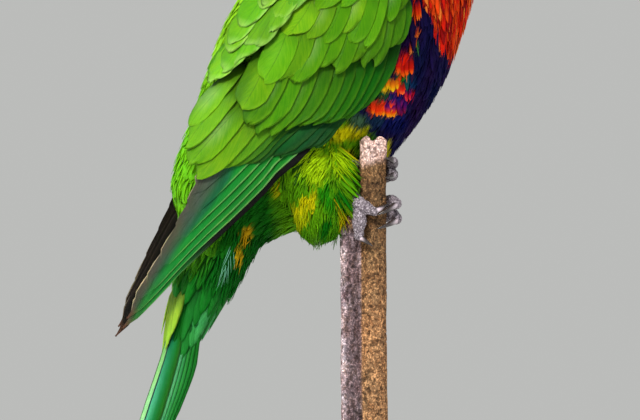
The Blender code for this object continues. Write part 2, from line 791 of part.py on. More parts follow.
def add_lids(head, centre):
    """Raise a lid round each eye and open the socket behind it."""
    lids = []
    sockets = []
    for side in (1, -1):
        place = Vector((centre.x, centre.y * side, centre.z))
        bpy.ops.mesh.primitive_torus_add(
            major_segments=16, minor_segments=6, major_radius=LID_RADIUS * MM,
            minor_radius=LID_THICKNESS * MM,
            location=(place + Vector((0, side * (EYE_RADIUS - LID_DEPTH), 0))) * MM,
            rotation=(math.pi / 2, 0, 0))
        lids.append(bpy.context.object)
        bm = bmesh.new()
        bmesh.ops.create_uvsphere(bm, u_segments=16, v_segments=10, radius=EYE_RADIUS + GAP,
                                  matrix=Matrix.Translation(place))
        sockets.append(to_object("socket", bm, bpy.context.scene.collection))
    combine(head, lids, "UNION")
    combine(head, sockets, "DIFFERENCE")


def make_bill(collection, paints):
    """Cere with its nostrils, upper bill and lower bill."""
    cere = to_object("cere", loft([
        ring_between(Vector((tx, 0, tz)), Vector((bx, 0, bz)), half, BILL_SIDES, 0.0, 0.85)
        for tx, tz, bx, bz, half in CERE]), collection, paints["cere_grey"])
    pits = []
    for side in (1, -1):
        bm = bmesh.new()
        place = Vector((NOSTRIL.x, NOSTRIL.y * side, NOSTRIL.z))
        bmesh.ops.create_icosphere(bm, subdivisions=2, radius=NOSTRIL_RADIUS,
                                   matrix=Matrix.Translation(place))
        pits.append(to_object("nostril", bm, collection))
    combine(cere, pits, "DIFFERENCE")
    for name, rows in (("bill_upper", BILL_UPPER), ("bill_lower", BILL_LOWER)):
        rings = [ring_between(Vector((tx, 0, tz)), Vector((bx, 0, bz)), half, BILL_SIDES, 0.0, 0.8)
                 for tx, tz, bx, bz, half in smooth_rows(rows, 2)]
        to_object(name, loft(rings), collection, paints["bill_red"])


def make_stand(collection, paints):
    bpy.ops.mesh.primitive_cylinder_add(vertices=48, radius=BASE_RADIUS * MM,
                                        depth=BASE_HEIGHT * MM,
                                        location=(0, 0, BASE_HEIGHT * MM / 2))
    base = bpy.context.object
    base.name = "stand_base"
    edge = base.modifiers.new("Edge", "BEVEL")
    edge.width = BASE_EDGE * MM
    edge.segments = 1
    base.data.materials.append(paints["base_black"])
    low = BASE_HEIGHT + GAP
    height = PERCH_FOOT - GAP - low
    bpy.ops.mesh.primitive_cylinder_add(
        vertices=24, radius=ROD_RADIUS * MM, depth=height * MM,
        location=(ROD_PLACE + Vector((0, 0, low + height / 2))) * MM)
    rod = bpy.context.object
    rod.name = "stand_rod"
    rod.data.materials.append(paints["rod_steel"])
    for thing in (base, rod):
        for holder in list(thing.users_collection):
            holder.objects.unlink(thing)
        collection.objects.link(thing)


def right_foot_lines():
    """Hub, toes and tarsus of the right foot, toes from the hub outwards."""
    hub = round_stem(-88.0, STEM_RADIUS + 3.0, 142.2)
    front = toe_line(-80.0, 2.0, 142.6, 138.4, 5, 2.6)
    behind_high = toe_line(-100.0, -285.0, 142.4, 140.8, 7, 3.4)
    behind_low = toe_line(-104.0, -282.0, 140.4, 135.8, 7, 3.5)
    down = [hub + Vector((0.4, -1.6, -1.5)), Vector((8.4, -22.4, 137.2)),
            Vector((8.2, -23.0, 133.6)), Vector((8.2, -23.0, 130.6))]
    tarsus = [Vector((-1.0, -17.2, 147.0)), Vector((3.5, -17.6, 144.6)), hub]
    return hub, [front, behind_high, behind_low, down], tarsus


def left_foot_lines():
    """Hub, toes and tarsus of the left foot, higher up on the far side of the stem."""
    hub = round_stem(-170.0, STEM_RADIUS + 3.0, 151.0)
    ahead_high = toe_line(-180.0, -272.0, 152.2, 154.4, 5, 2.4)
    ahead_low = toe_line(-180.0, -270.0, 150.0, 150.2, 5, 2.4)
    back_high = toe_line(-158.0, -112.0, 152.4, 153.4, 4, 2.4)
    back_low = toe_line(-160.0, -118.0, 149.8, 149.0, 4, 2.4)
    tarsus = [Vector((12.0, -1.0, 153.0)), Vector((14.0, -6.0, 152.0)), hub]
    return hub, [ahead_high, ahead_low, back_high, back_low], tarsus


def make_feet(torso, thigh_right, perch, collection, paints):
    """Both feet, each cut clear of the body it comes out of, and their claws."""
    rights, lefts = right_foot_lines(), left_foot_lines()
    feet = []
    for name, (hub, toes, _) in (("foot_right", rights), ("foot_left", lefts)):
        feet.append(make_foot(name, toes, hub, collection, paints["foot_grey"]))
    combine(torso, [grown(perch, 3 * GAP), grown(feet[1], 2 * GAP)], "DIFFERENCE")
    combine(thigh_right, [grown(perch, 2 * GAP)], "DIFFERENCE")
    for foot, (_, _, tarsus), body in zip(feet, (rights, lefts), (thigh_right, torso)):
        combine(foot, [tube("tarsus", tarsus, [TARSUS_RADIUS] * len(tarsus), collection)], "UNION")
        combine(foot, [grown(body, GAP), grown(perch, GAP)], "DIFFERENCE")
    for side, foot, (_, toes, _), sweeps in zip(("right", "left"), feet, (rights, lefts),
                                                (RIGHT_CLAWS, LEFT_CLAWS)):
        for claw in make_claws(side, toes, sweeps, collection, paints["claw_dark"]):
            combine(claw, [grown(foot, GAP), grown(perch, GAP), grown(torso, GAP)], "DIFFERENCE")


def settle(collection):
    """Shade each piece, put its origin in its middle and hang it on the bird or the stand."""
    holders = {}
    for name in ("bird", "stand"):
        holders[name] = bpy.data.objects.new(name, None)
        collection.objects.link(holders[name])
    holders["bird"].location = Vector((STEM.x, 0, STEM_TOP)) * MM
    bpy.context.view_layer.update()
    for thing in [thing for thing in collection.objects if thing.type == "MESH"]:
        if thing.location.length == 0:
            places = [vert.co for vert in thing.data.vertices]
            middle = sum(places, Vector()) / len(places)
            thing.data.transform(Matrix.Translation(-middle))
            thing.location = middle
        thing.data.shade_smooth()
        thing.data.set_sharp_from_angle(angle=SMOOTH_ANGLE)
        stands = thing.name == "perch" or thing.name.startswith("stand_")
        thing.parent = holders["stand" if stands else "bird"]
        thing.matrix_parent_inverse = thing.parent.matrix_world.inverted()


def build():
    for thing in list(bpy.data.objects):
        bpy.data.objects.remove(thing)
    collection = bpy.data.collections.new("lorikeet")
    bpy.context.scene.collection.children.link(collection)
    paints = make_materials()

    perch = make_perch(collection, paints["bark"])
    rings = body_rings()
    torso = body_part("torso", rings, TORSO_RINGS, collection, paints["back_green"])
    neck = body_part("neck", rings, NECK_RINGS, collection, paints["neck_orange"])
    head = body_part("head", rings, HEAD_RINGS, collection, paints["head_blue"])
    tail = make_tail(collection, paints["tail_green"])
    thigh_right = to_object("thigh_right", thigh_form(False), collection, paints["leg_green"])
    thigh_left = to_object("thigh_left", thigh_form(True), collection, paints["leg_green"])

    side = BodySide([torso, neck, tail, thigh_left, thigh_right])

    centre = eye_centre(head)
    add_lids(head, centre)
    make_eye("eye_left", centre, collection, paints["iris_red"])
    make_eye("eye_right", Vector((centre.x, -centre.y, centre.z)), collection, paints["iris_red"])
    make_bill(collection, paints)

    for thigh in (thigh_right, thigh_left):
        combine(thigh, [grown(torso, GAP), grown(tail, GAP)], "DIFFERENCE")
    make_feet(torso, thigh_right, perch, collection, paints)
    make_wing("wing_left", side, [torso, tail, thigh_left], collection, paints["wing_green"])
    make_wing("wing_right", side, [torso, tail, thigh_right], collection, paints["wing_green"])
    make_stand(collection, paints)
    settle(collection)


build()
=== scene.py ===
import itertools
import math

import bmesh
import bpy
import numpy as np
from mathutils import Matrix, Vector, noise
from mathutils.bvhtree import BVHTree


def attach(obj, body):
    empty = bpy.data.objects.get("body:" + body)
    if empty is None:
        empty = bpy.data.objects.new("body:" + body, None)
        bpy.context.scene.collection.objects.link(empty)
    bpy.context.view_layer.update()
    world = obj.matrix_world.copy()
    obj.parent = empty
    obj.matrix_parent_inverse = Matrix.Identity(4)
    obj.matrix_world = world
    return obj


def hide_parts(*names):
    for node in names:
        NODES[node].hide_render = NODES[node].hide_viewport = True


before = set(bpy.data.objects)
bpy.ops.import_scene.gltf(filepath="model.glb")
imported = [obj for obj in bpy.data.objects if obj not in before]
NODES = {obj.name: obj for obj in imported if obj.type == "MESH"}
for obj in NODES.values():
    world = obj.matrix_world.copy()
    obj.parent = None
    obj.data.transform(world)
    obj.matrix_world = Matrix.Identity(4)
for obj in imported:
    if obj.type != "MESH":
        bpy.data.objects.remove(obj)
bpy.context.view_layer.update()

# All sizes are in millimetres.  X is ahead of the bird, Y its left, Z up.
MM = 0.001
TURN = 2 * math.pi
SEED = 41

# Body, from vent to bill: back x, z, then breast x, z
BODY = [
    (-44.4, 137.6, -16.2, 127.4), (-46.8, 146.0, -8.0, 131.0), (-44.3, 157.0, 5.0, 134.5),
    (-39.5, 168.5, 17.0, 142.5), (-34.2, 184.0, 29.5, 158.0), (-28.0, 199.5, 41.5, 173.0),
    (-19.5, 213.5, 50.5, 193.0), (-9.5, 226.5, 56.0, 212.0), (1.0, 238.0, 54.5, 227.0),
    (8.5, 248.0, 50.5, 237.0), (12.2, 256.2, 48.4, 239.8), (17.8, 263.4, 47.5, 240.4),
    (26.8, 268.4, 47.2, 240.8), (36.6, 268.4, 47.3, 241.1), (44.0, 264.4, 47.5, 241.4),
    (48.3, 258.3, 47.6, 241.8),
]
BODY_STEPS = 16
# Tail
TAIL_ROOT = Vector((-30.3, 0.0, 132.5))
TAIL_AXIS = Vector((-0.339, 0.0, -0.941)).normalized()
TAIL_UP = Vector((-0.941, 0.0, 0.339)).normalized()
TAIL_FRAME = [np.array(way) for way in (TAIL_ROOT, TAIL_AXIS, TAIL_UP)]
SIDEWAYS = np.array([0, 1, 0])
TAIL_COVERTS = [
    (0.0, 15.0, 11.0), (12.0, 12.8, 11.2), (24.0, 10.2, 11.0), (36.0, 7.2, 10.2),
    (46.0, 4.2, 8.8), (54.0, 1.6, 6.0),
]
TAIL_LENGTHS = [126.0, 119.0, 109.0, 98.0, 87.0, 77.0]
TAIL_FEATHER_ROOT = 28.0
TAIL_FEATHER_WIDTH = 8.8
TAIL_FEATHER_STEP = 0.35
TAIL_ROOF = 0.55
# Where the ridge's height is given, that height, and how fast it falls
TAIL_RIDGE = (64.0, 4.4, 0.055)
# Folded wing
WING_BEND = (24.6, 212.5)
WING_ALONG = (-0.6226, -0.7825)
WING_ACROSS = (-0.7825, 0.6226)
SIDE_CLEARANCE = 0.9
SIDE_LEAST = 0.5
SIDE_STEP = 1.5
SIDE_BLURS = 10
SLOPE_STEP = 2.5
SIDE_X = (-80.0, 45.0)
SIDE_Z = (85.0, 240.0)
BLADE = [(-20, 17.0), (0, 19.0), (60, 17.5), (80, 15.0), (100, 11.0), (120, 6.5), (142, 3.2)]
BLADE_CURVE = 0.022
BLADE_LEAST = 1.6
# The far wing is tucked in over this place, its upper edge is held, and its tip swings down
FAR_TUCK = (6.0, 0.5)
FAR_UPPER = (11.0, 0.15)
FAR_TIP = (100.0, 0.05, 0.048)
# The feathers lie lower over the back: by a share of their height, or by millimetres, which
# comes in between these two places across the wing
FAR_LOWERED = (0.85, 7, 14)
NEAR_LOWERED = (0.78, 20, 31)
NEAR_DROP = (1.3, 18, 29)
# Place along the wing, lower and upper edge, thickness
WING_PAD = [
    (-9.0, 5.0, 9.0, 2.0), (-5.0, -0.5, 15.5, 4.0), (5.0, -3.2, 19.5, 5.6),
    (15.0, -8.0, 21.0, 5.6), (27.0, -10.6, 21.0, 4.8), (38.0, -10.8, 21.5, 4.0),
    (50.0, -8.4, 21.0, 3.2), (62.0, -7.4, 18.0, 2.4), (72.0, -6.0, 12.0, 1.4),
]

# Eye, cere and bill
EYE = Vector((38.0, 9.62, 257.6))
EYE_RADIUS = 4.5
CERE = [
    (48.3, 258.5, 48.1, 248.8, 6.2), (48.7, 258.8, 48.35, 248.8, 6.4),
    (49.6, 259.1, 49.35, 248.8, 6.5), (50.5, 258.4, 50.3, 248.8, 6.0),
    (51.0, 257.7, 50.8, 249.0, 5.2),
]
NOSTRIL = Vector((49.6, 4.5, 257.7))
BILL_UPPER = [
    (50.9, 257.9, 50.7, 248.8, 5.6), (54.0, 257.7, 52.7, 248.6, 5.2),
    (57.4, 256.2, 55.0, 247.9, 4.5), (60.3, 253.3, 57.1, 246.5, 3.7),
    (62.1, 249.7, 58.6, 244.8, 2.9), (62.6, 245.9, 59.5, 242.7, 2.0),
    (62.2, 242.3, 60.1, 240.9, 1.1), (60.9, 238.6, 60.5, 238.5, 0.3),
]
BILL_LOWER = [
    (46.6, 248.2, 46.6, 242.8, 4.8), (48.5, 248.5, 48.5, 242.2, 4.9), (50.6, 248.5, 50.8, 241.2, 4.6),
    (52.8, 248.3, 53.3, 240.6, 4.1), (54.8, 247.6, 55.6, 241.6, 3.3),
    (56.5, 246.4, 57.4, 243.2, 2.1), (57.6, 245.2, 57.9, 244.7, 0.6),
]

# Stems, toes and claws
STEM = Vector((14.5, -19.0, 0.0))
STEM_RADIUS = 4.0
STEM_TOP = 161.0
FORK = Vector((7.2, -17.6, 0.0))
FORK_RADIUS = 3.1
FORK_TOP = 137.0
FORK_LEAN = 1.5
PERCH_FOOT = 58.0
CAMERA_SIDE = -110.0
TOE_RADII = [2.5, 2.2, 2.4, 2.0, 2.2, 1.8, 1.3]
TOE_SIDES = 22
CLAW_RADII = [1.0, 0.95, 0.75, 0.5, 0.2]
# How far each claw sweeps round the stem in degrees, and how far it drops
RIGHT_CLAWS = [(52.0, 2.6), (-62.0, -3.4), (-66.0, -2.8), (34.0, -3.0)]
LEFT_CLAWS = [(-46.0, 1.0), (-46.0, -1.0), (34.0, 0.6), (34.0, -1.0)]

# Skin, with the lids, eyes and bill kept clear of the coat
HEAD_START = 9.6
EYE_CLEAR = 4.3
BILL_START = 48.6
BREAST_FOOT = 188
SKIN_SWELL = 0.3
SKIN_DEPTH = 1.3
SKIN_VOXEL = 1.1
FOOT_VOXEL = 0.26
PERCH_VOXEL = 0.38

BAKE_PATCH = 0.003

# Stage, in metres: the lamps have a place, a size, a power and a colour
FLOOR_RADII = (120.0, 300.0, 520.0)
LAMPS = (
    ("key", (-0.7, -0.75, 1.1), 0.35, 26.0, (1.0, 0.98, 0.93)),
    ("rim", (-0.85, 0.4, 0.8), 0.6, 12.0, (1.0, 0.99, 0.95)),
    ("fill", (0.7, -0.9, 0.35), 0.9, 2.0, (0.95, 0.98, 1.0)),
)
LAMP_AIM = Vector((0, 0, 0.17))
STUDIO = (0.86, 0.87, 0.85, 1)
STUDIO_STRENGTH = 0.58
CAMERA_TURN = -20
CAMERA_DISTANCE = 2.0
CAMERA_ASIDE = 3.2
CAMERA_HEIGHT = 138.9
FRAME_WIDTH = 204.8
SENSOR = 36.0

# Colour

def tint(red, green, blue):
    """A linear colour from values out of 255 as they look on a screen."""
    c = np.array([red, green, blue]) / 255
    return np.where(c <= 0.04045, c / 12.92, ((c + 0.055) / 1.055) ** 2.4)


LEAF = tint(83, 142, 5)
LEAF_LIGHT = tint(130, 186, 26)
LEAF_DEEP = tint(14, 94, 4)
TEAL = tint(8, 82, 34)
DUSK = tint(66, 78, 70)
BLACKISH = tint(12, 9, 12)
PRIMARY = tint(20, 122, 38)
FRINGE = tint(128, 184, 104)
RUMP = tint(98, 174, 12)
RED = tint(208, 26, 8)
DEEP_RED = tint(128, 8, 10)
ORANGE = tint(236, 98, 10)
YELLOW = tint(236, 186, 10)
VIOLET = tint(44, 12, 84)
NAVY = tint(10, 20, 88)
THIGH_GREEN = tint(96, 158, 4)
THIGH_DEEP = tint(10, 98, 4)
THIGH_YELLOW = tint(196, 190, 0)
# Green of the vent, painted deep for the shade under the wing
SHADED_VENT = tint(6, 72, 4)
TAIL_GREEN = tint(4, 104, 18)
TAIL_TEAL = tint(4, 108, 66)
TAIL_LIME = tint(126, 184, 96)
HOOD = tint(36, 46, 168)
HOOD_LIGHT = tint(70, 104, 224)
HOOD_DARK = tint(20, 16, 70)
COLLAR = tint(166, 204, 24)


# Numbers

def unit(v):
    return v / np.maximum(np.linalg.norm(v, axis=-1, keepdims=True), 1e-9)


def ramp(x, low, high):
    f = np.clip((np.asarray(x, dtype=float) - low) / (high - low), 0, 1)
    return f * f * (3 - 2 * f)


def mix(one, two, share):
    """Colours between one and two, by a share for each point."""
    share = np.asarray(share, dtype=float)[..., None]
    return one * (1 - share) + two * share


def over(under, colour, share):
    """The colour laid over what is under it, by shares that fit both."""
    return under * (1 - share) + colour * share

def smooth_rows(rows, steps):
    """Rows of numbers with steps - 1 more between each pair, on a smooth curve."""
    rows = [np.array(row, dtype=float) for row in rows]
    last = len(rows) - 1
    result = []
    for i in range(last):
        before, here = rows[max(i - 1, 0)], rows[i]
        there, after = rows[i + 1], rows[min(i + 2, last)]
        for k in range(steps):
            f = k / steps
            result.append(
                0.5 * (2 * here + (there - before) * f
                       + (2 * before - 5 * here + 4 * there - after) * f ** 2
                       + (3 * here - before - 3 * there + after) * f ** 3))
    result.append(rows[last])
    return result


def cloud(points, scale, seed=0.0):
    """Soft noise from -1 to 1 at each point."""
    shift = Vector((seed * 7.3, seed * 3.1, seed * 5.7))
    return np.array([noise.noise(Vector(p) * scale + shift) for p in points]) * 1.6


# Meshes

def ring_between(top, bottom, half_width, sides, square=1.0):
    middle, up = (top + bottom) / 2, (top - bottom) / 2
    points = []
    for i in range(sides):
        angle = TURN * i / sides
        reach = math.copysign(abs(math.sin(angle)) ** square, math.sin(angle))
        points.append(middle + up * math.cos(angle) + Vector((0, half_width * reach, 0)))
    return points


def grid_faces(rows, sides, closed=False):
    """Faces between rows of points that each run round; closed joins the last to the first."""
    faces = []
    for k in range(rows if closed else rows - 1):
        a, b = k * sides, (k + 1) % rows * sides
        faces += [(a + i, a + (i + 1) % sides, b + (i + 1) % sides, b + i) for i in range(sides)]
    return faces


def loft_data(rings):
    """Points and faces of a closed body through rings of equal count."""
    count = len(rings[0])
    points = [tuple(point) for ring in rings for point in ring]
    faces = grid_faces(len(rings), count)
    faces.append(tuple(range(count))[::-1])
    faces.append(tuple((len(rings) - 1) * count + i for i in range(count)))
    return points, faces


def join_data(sets):
    """Points and faces of several bodies as one list of each."""
    points, faces = [], []
    for some, polygons in sets:
        faces += [tuple(len(points) + i for i in face) for face in polygons]
        points += [tuple(p) for p in some]
    return np.array(points), faces


def turn_outwards(mesh, weld=0.0):
    """Turn the faces' normals outwards, with points within the weld made one."""
    bm = bmesh.new()
    bm.from_mesh(mesh)
    if weld:
        bmesh.ops.remove_doubles(bm, verts=bm.verts, dist=weld)
    bmesh.ops.recalc_face_normals(bm, faces=bm.faces)
    bm.to_mesh(mesh)
    bm.free()


def placed(name, mesh, material=None):
    """An object of the mesh in the scene, smooth and in its material."""
    mesh.shade_smooth()
    if material is not None:
        mesh.materials.clear()
        mesh.materials.append(material)
    made = bpy.data.objects.new(name, mesh)
    bpy.context.scene.collection.objects.link(made)
    return made


def mesh_object(name, points, faces, material=None, paint=None):
    """An object from points in millimetres, with its normals turned outwards."""
    mesh = bpy.data.meshes.new(name)
    mesh.from_pydata([tuple(np.array(p) * MM) for p in points], [], [tuple(f) for f in faces])
    turn_outwards(mesh)
    if paint is not None:
        lay_paint(mesh, paint)
    return placed(name, mesh, material)


def fused(name, points, faces, voxel, factor, rounds):
    """One closed mesh round several bodies, softened, with its points and normals."""
    rough = mesh_object(name, points, faces)
    remesh = rough.modifiers.new("Join", "REMESH")
    remesh.mode = "VOXEL"
    remesh.voxel_size = voxel * MM
    soften = rough.modifiers.new("Soften", "SMOOTH")
    soften.factor = factor
    soften.iterations = rounds
    graph = bpy.context.evaluated_depsgraph_get()
    mesh = bpy.data.meshes.new_from_object(rough.evaluated_get(graph))
    bpy.data.objects.remove(rough)
    return mesh, points_of(mesh), normals_of(mesh)


def lay_paint(mesh, colours):
    layer = mesh.color_attributes.new(name="Paint", type="FLOAT_COLOR", domain="POINT")
    full = np.ones((len(colours), 4), dtype=np.float32)
    full[:, :3] = np.clip(colours, 0, 1)
    layer.data.foreach_set("color", full.ravel())


def points_of(mesh):
    out = np.empty(len(mesh.vertices) * 3, dtype=np.float64)
    mesh.vertices.foreach_get("co", out)
    return out.reshape(-1, 3) / MM


def normals_of(mesh):
    return np.array([vertex.normal for vertex in mesh.vertices])


def move_points(mesh, places):
    mesh.vertices.foreach_set("co", (places * MM).astype(np.float32).ravel())
    mesh.update()


def keep(piece, slot, *nodes):
    """Ride the piece on the only body and hide the nodes it stands for; the slot is not used."""
    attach(piece, "root")
    if nodes:
        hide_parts(*nodes)
    return piece


def shell_data(mid, normal, thick, paint, spots, columns, shares, flip=False, under=None):
    """Closed thin vanes from grids of points: feather, station, column."""
    n, s, k = mid.shape[:3]
    half = normal * (thick / 2)[..., None]
    under = paint * 0.8 if under is None else under
    ring = np.concatenate([mid + half, (mid - half)[:, :, 1:-1][:, :, ::-1]], axis=2)
    shades = np.concatenate([paint, under[:, :, 1:-1][:, :, ::-1]], axis=2)
    x = np.concatenate([columns, columns[1:-1][::-1]])
    r = len(x)
    index = np.arange(n * s * r).reshape(n, s, r)
    a, b = index[:, :-1], index[:, 1:]
    quads = [np.stack([a, b, np.roll(b, -1, 2), np.roll(a, -1, 2)], -1).reshape(-1, 4)]
    tris = []
    for row, turn in ((index[:, 0], 1), (index[:, -1], -1)):
        tris.append(row[:, [0, 1, r - 1]][:, ::turn])
        tris.append(row[:, [k - 2, k - 1, k]][:, ::turn])
        for c in range(1, k - 2):
            quads.append(row[:, [c, c + 1, r - c - 1, r - c]][:, ::turn])
    quads, tris = np.concatenate(quads), np.concatenate(tris)
    if flip:
        quads, tris = quads[:, ::-1], tris[:, ::-1]
    vane = np.empty((n, s, r, 2))
    vane[..., 0] = (x + 1) / 2
    vane[..., 1] = np.asarray(shares)[None, :, None]
    bake = spots[:, None, None, :] + BAKE_PATCH * (vane - 0.5)
    return {"points": ring.reshape(-1, 3), "quads": quads, "tris": tris,
            "vane": vane.reshape(-1, 2), "bake": bake.reshape(-1, 2),
            "paint": shades.reshape(-1, 3)}


def shell_object(name, parts, material, slot):
    """One piece from the data of many vanes."""
    counts = np.cumsum([0] + [len(part["points"]) for part in parts])
    points = np.concatenate([part["points"] for part in parts]) * MM
    quads = np.concatenate([part["quads"] + c for part, c in zip(parts, counts)])
    tris = np.concatenate([part["tris"] + c for part, c in zip(parts, counts)])
    corners = np.concatenate([quads.ravel(), tris.ravel()]).astype(np.int32)
    starts = np.concatenate([np.arange(len(quads)) * 4, len(quads) * 4 + np.arange(len(tris)) * 3])
    mesh = bpy.data.meshes.new(name)
    mesh.vertices.add(len(points))
    mesh.vertices.foreach_set("co", points.astype(np.float32).ravel())
    mesh.loops.add(len(corners))
    mesh.loops.foreach_set("vertex_index", corners)
    mesh.polygons.add(len(starts))
    mesh.polygons.foreach_set("loop_start", starts.astype(np.int32))
    mesh.update(calc_edges=True)
    for key, title in (("vane", "Vane"), ("bake", "OFBake")):
        places = np.concatenate([part[key] for part in parts])
        layer = mesh.uv_layers.new(name=title)
        layer.data.foreach_set("uv", places[corners].astype(np.float32).ravel())
    lay_paint(mesh, np.concatenate([part["paint"] for part in parts]))
    mesh.validate()
    return keep(placed(name, mesh, material), slot)


# Materials

class Nodes:
    """Short ways to add nodes to one material."""

    def __init__(self, name):
        self.material = bpy.data.materials.new(name)
        self.material.use_nodes = True
        self.tree = self.material.node_tree
        self.shader = self.tree.nodes["Principled BSDF"]

    def add(self, kind, **settings):
        node = self.tree.nodes.new(kind)
        for key, value in settings.items():
            setattr(node, key, value)
        return node

    def feed(self, socket, value):
        """Give the socket a number or a colour, or link it to another node."""
        if isinstance(value, (int, float)):
            socket.default_value = value
        elif isinstance(value, (tuple, list, np.ndarray)):
            socket.default_value = (*[float(c) for c in value][:3], 1.0)
        else:
            self.tree.links.new(value, socket)

    def math(self, operation, *values):
        node = self.add("ShaderNodeMath", operation=operation)
        for socket, value in zip(node.inputs, values):
            self.feed(socket, value)
        return node.outputs[0]

    def blend(self, share, one, two, kind="MIX"):
        node = self.add("ShaderNodeMix", data_type="RGBA", blend_type=kind)
        for number, value in ((0, share), (6, one), (7, two)):
            self.feed(node.inputs[number], value)
        return node.outputs[2]

    def stain(self, share, colour, factor):
        """The colour, multiplied by the factor where the share is high."""
        return self.blend(share, colour, self.blend(1.0, colour, factor, "MULTIPLY"))

    def paint(self):
        return self.add("ShaderNodeAttribute", attribute_name="Paint").outputs["Color"]

    def places(self):
        return self.add("ShaderNodeTexCoord").outputs["Object"]

    def vane(self):
        return self.add("ShaderNodeUVMap", uv_map="Vane").outputs["UV"]

    def stretched(self, place, scale):
        node = self.add("ShaderNodeMapping")
        node.inputs["Scale"].default_value = scale
        self.feed(node.inputs[0], place)
        return node.outputs[0]

    def strayed(self, place, scale):
        """The place plus the scaled place on the object, so that no two feathers match."""
        scaled = self.add("ShaderNodeVectorMath", operation="SCALE")
        self.feed(scaled.inputs[0], self.places())
        scaled.inputs["Scale"].default_value = scale
        node = self.add("ShaderNodeVectorMath", operation="ADD")
        self.feed(node.inputs[0], place)
        self.feed(node.inputs[1], scaled.outputs[0])
        return node.outputs[0]

    def noise(self, scale, detail=3.0, rough=0.5, place=None):
        node = self.add("ShaderNodeTexNoise")
        node.inputs["Scale"].default_value = scale
        node.inputs["Detail"].default_value = detail
        node.inputs["Roughness"].default_value = rough
        self.feed(node.inputs["Vector"], place if place is not None else self.places())
        return node.outputs["Fac"]

    def cells(self, scale):
        node = self.add("ShaderNodeTexVoronoi", feature="F1")
        node.inputs["Scale"].default_value = scale
        self.feed(node.inputs["Vector"], self.places())
        return node.outputs["Distance"]

    def spread(self, value, *limits):
        """The value moved from its first two limits to the last two."""
        node = self.add("ShaderNodeMapRange")
        for socket, number in zip(list(node.inputs)[1:5], limits):
            socket.default_value = number
        self.feed(node.inputs[0], value)
        return node.outputs[0]

    def bump(self, height, strength, distance):
        node = self.add("ShaderNodeBump")
        node.inputs["Strength"].default_value = strength
        node.inputs["Distance"].default_value = distance
        self.feed(node.inputs["Height"], height)
        self.feed(self.shader.inputs["Normal"], node.outputs["Normal"])

    def finish(self, colour, rough, **plain):
        self.feed(self.shader.inputs["Base Color"], colour)
        self.feed(self.shader.inputs["Roughness"], rough)
        for key, value in plain.items():
            self.shader.inputs[key.replace("_", " ")].default_value = value
        return self.material


def plumage(name, barbs, slant, contrast, shaft, rough=0.5):
    """Feather web: barbs that slant out from a shaft, over the painted colour."""
    k = Nodes(name)
    parts = k.add("ShaderNodeSeparateXYZ")
    k.feed(parts.inputs[0], k.vane())
    away = k.math("ABSOLUTE", k.math("SUBTRACT", parts.outputs[0], 0.5))
    along = k.math("SUBTRACT", k.math("MULTIPLY", parts.outputs[1], barbs),
                   k.math("MULTIPLY", away, barbs * slant))
    phase = k.math("ADD", along, k.math("MULTIPLY", k.noise(420.0, 3.0), 2.4))
    wave = k.math("MULTIPLY_ADD", k.math("SINE", k.math("MULTIPLY", phase, TURN)), 0.5, 0.5)
    barb = k.add("ShaderNodeCombineXYZ")
    k.feed(barb.inputs[0], k.math("MULTIPLY", along, 0.55))
    k.feed(barb.inputs[1], k.math("MULTIPLY", away, 3.0))
    streaks = k.noise(1.0, 4.0, 0.6, k.strayed(barb.outputs[0], 90.0))
    patch = k.noise(150.0, 3.0, 0.55)
    dark = k.math("MULTIPLY", k.math("MULTIPLY", wave, streaks), contrast)
    colour = k.blend(dark, k.paint(), (0.0, 0.008, 0.0))
    colour = k.stain(k.spread(streaks, 0.4, 0.6, 0.75, 0.0), colour, (0.5, 0.74, 0.55))
    colour = k.stain(k.spread(patch, 0.45, 0.7, 0.0, 0.55), colour, (1.35, 1.14, 0.8))
    colour = k.blend(k.spread(away, 0.006, 0.02, shaft, 0.0), colour, (0.008, 0.012, 0.008))
    k.bump(k.math("ADD", k.math("MULTIPLY", wave, 0.6), streaks), 0.5, 0.0003)
    return k.finish(colour, k.spread(streaks, 0.25, 0.75, rough - 0.06, rough + 0.14),
                    Specular_IOR_Level=0.07)


def down(name, rough=0.66):
    """Fine loose feathering over the painted colour."""
    k = Nodes(name)
    hairs = k.noise(1.6, 3.0, 0.6, k.strayed(k.stretched(k.vane(), (7.0, 1.2, 1.0)), 260.0))
    colour = k.stain(k.spread(hairs, 0.3, 0.7, 0.35, 0.0), k.paint(), (0.4, 0.45, 0.4))
    patch = k.noise(210.0, 3.0)
    colour = k.stain(k.spread(patch, 0.42, 0.7, 0.0, 0.4), colour, (1.3, 1.15, 0.85))
    k.bump(hairs, 0.3, 0.0002)
    return k.finish(colour, k.spread(hairs, 0.3, 0.8, rough - 0.1, rough + 0.12),
                    Specular_IOR_Level=0.05)


def skin_material():
    """The bare down under the coat."""
    k = Nodes("bare_down")
    grain = k.noise(900.0, 4.0, 0.6)
    colour = k.stain(k.spread(grain, 0.3, 0.7, 0.5, 0.0), k.paint(), (0.4, 0.4, 0.4))
    k.bump(grain, 0.5, 0.0004)
    return k.finish(colour, k.spread(grain, 0.2, 0.8, 0.6, 0.85), Specular_IOR_Level=0.1)


def scaly(name, cell, rough, specks=0.4):
    """Beady or creased skin over the painted colour."""
    k = Nodes(name)
    bead = k.cells(cell)
    grain = k.noise(2200.0, 4.0, 0.6)
    colour = k.stain(k.spread(bead, 0.25, 0.6, 0.0, 0.65), k.paint(), (0.25, 0.22, 0.24))
    colour = k.blend(k.spread(grain, 0.45, 0.75, 0.0, specks), colour, (0.62, 0.56, 0.58))
    k.bump(k.math("SUBTRACT", k.math("MULTIPLY", grain, 0.3), bead), 0.6, 0.0004)
    return k.finish(colour, k.spread(grain, 0.2, 0.8, rough - 0.1, rough + 0.15),
                    Specular_IOR_Level=0.4)


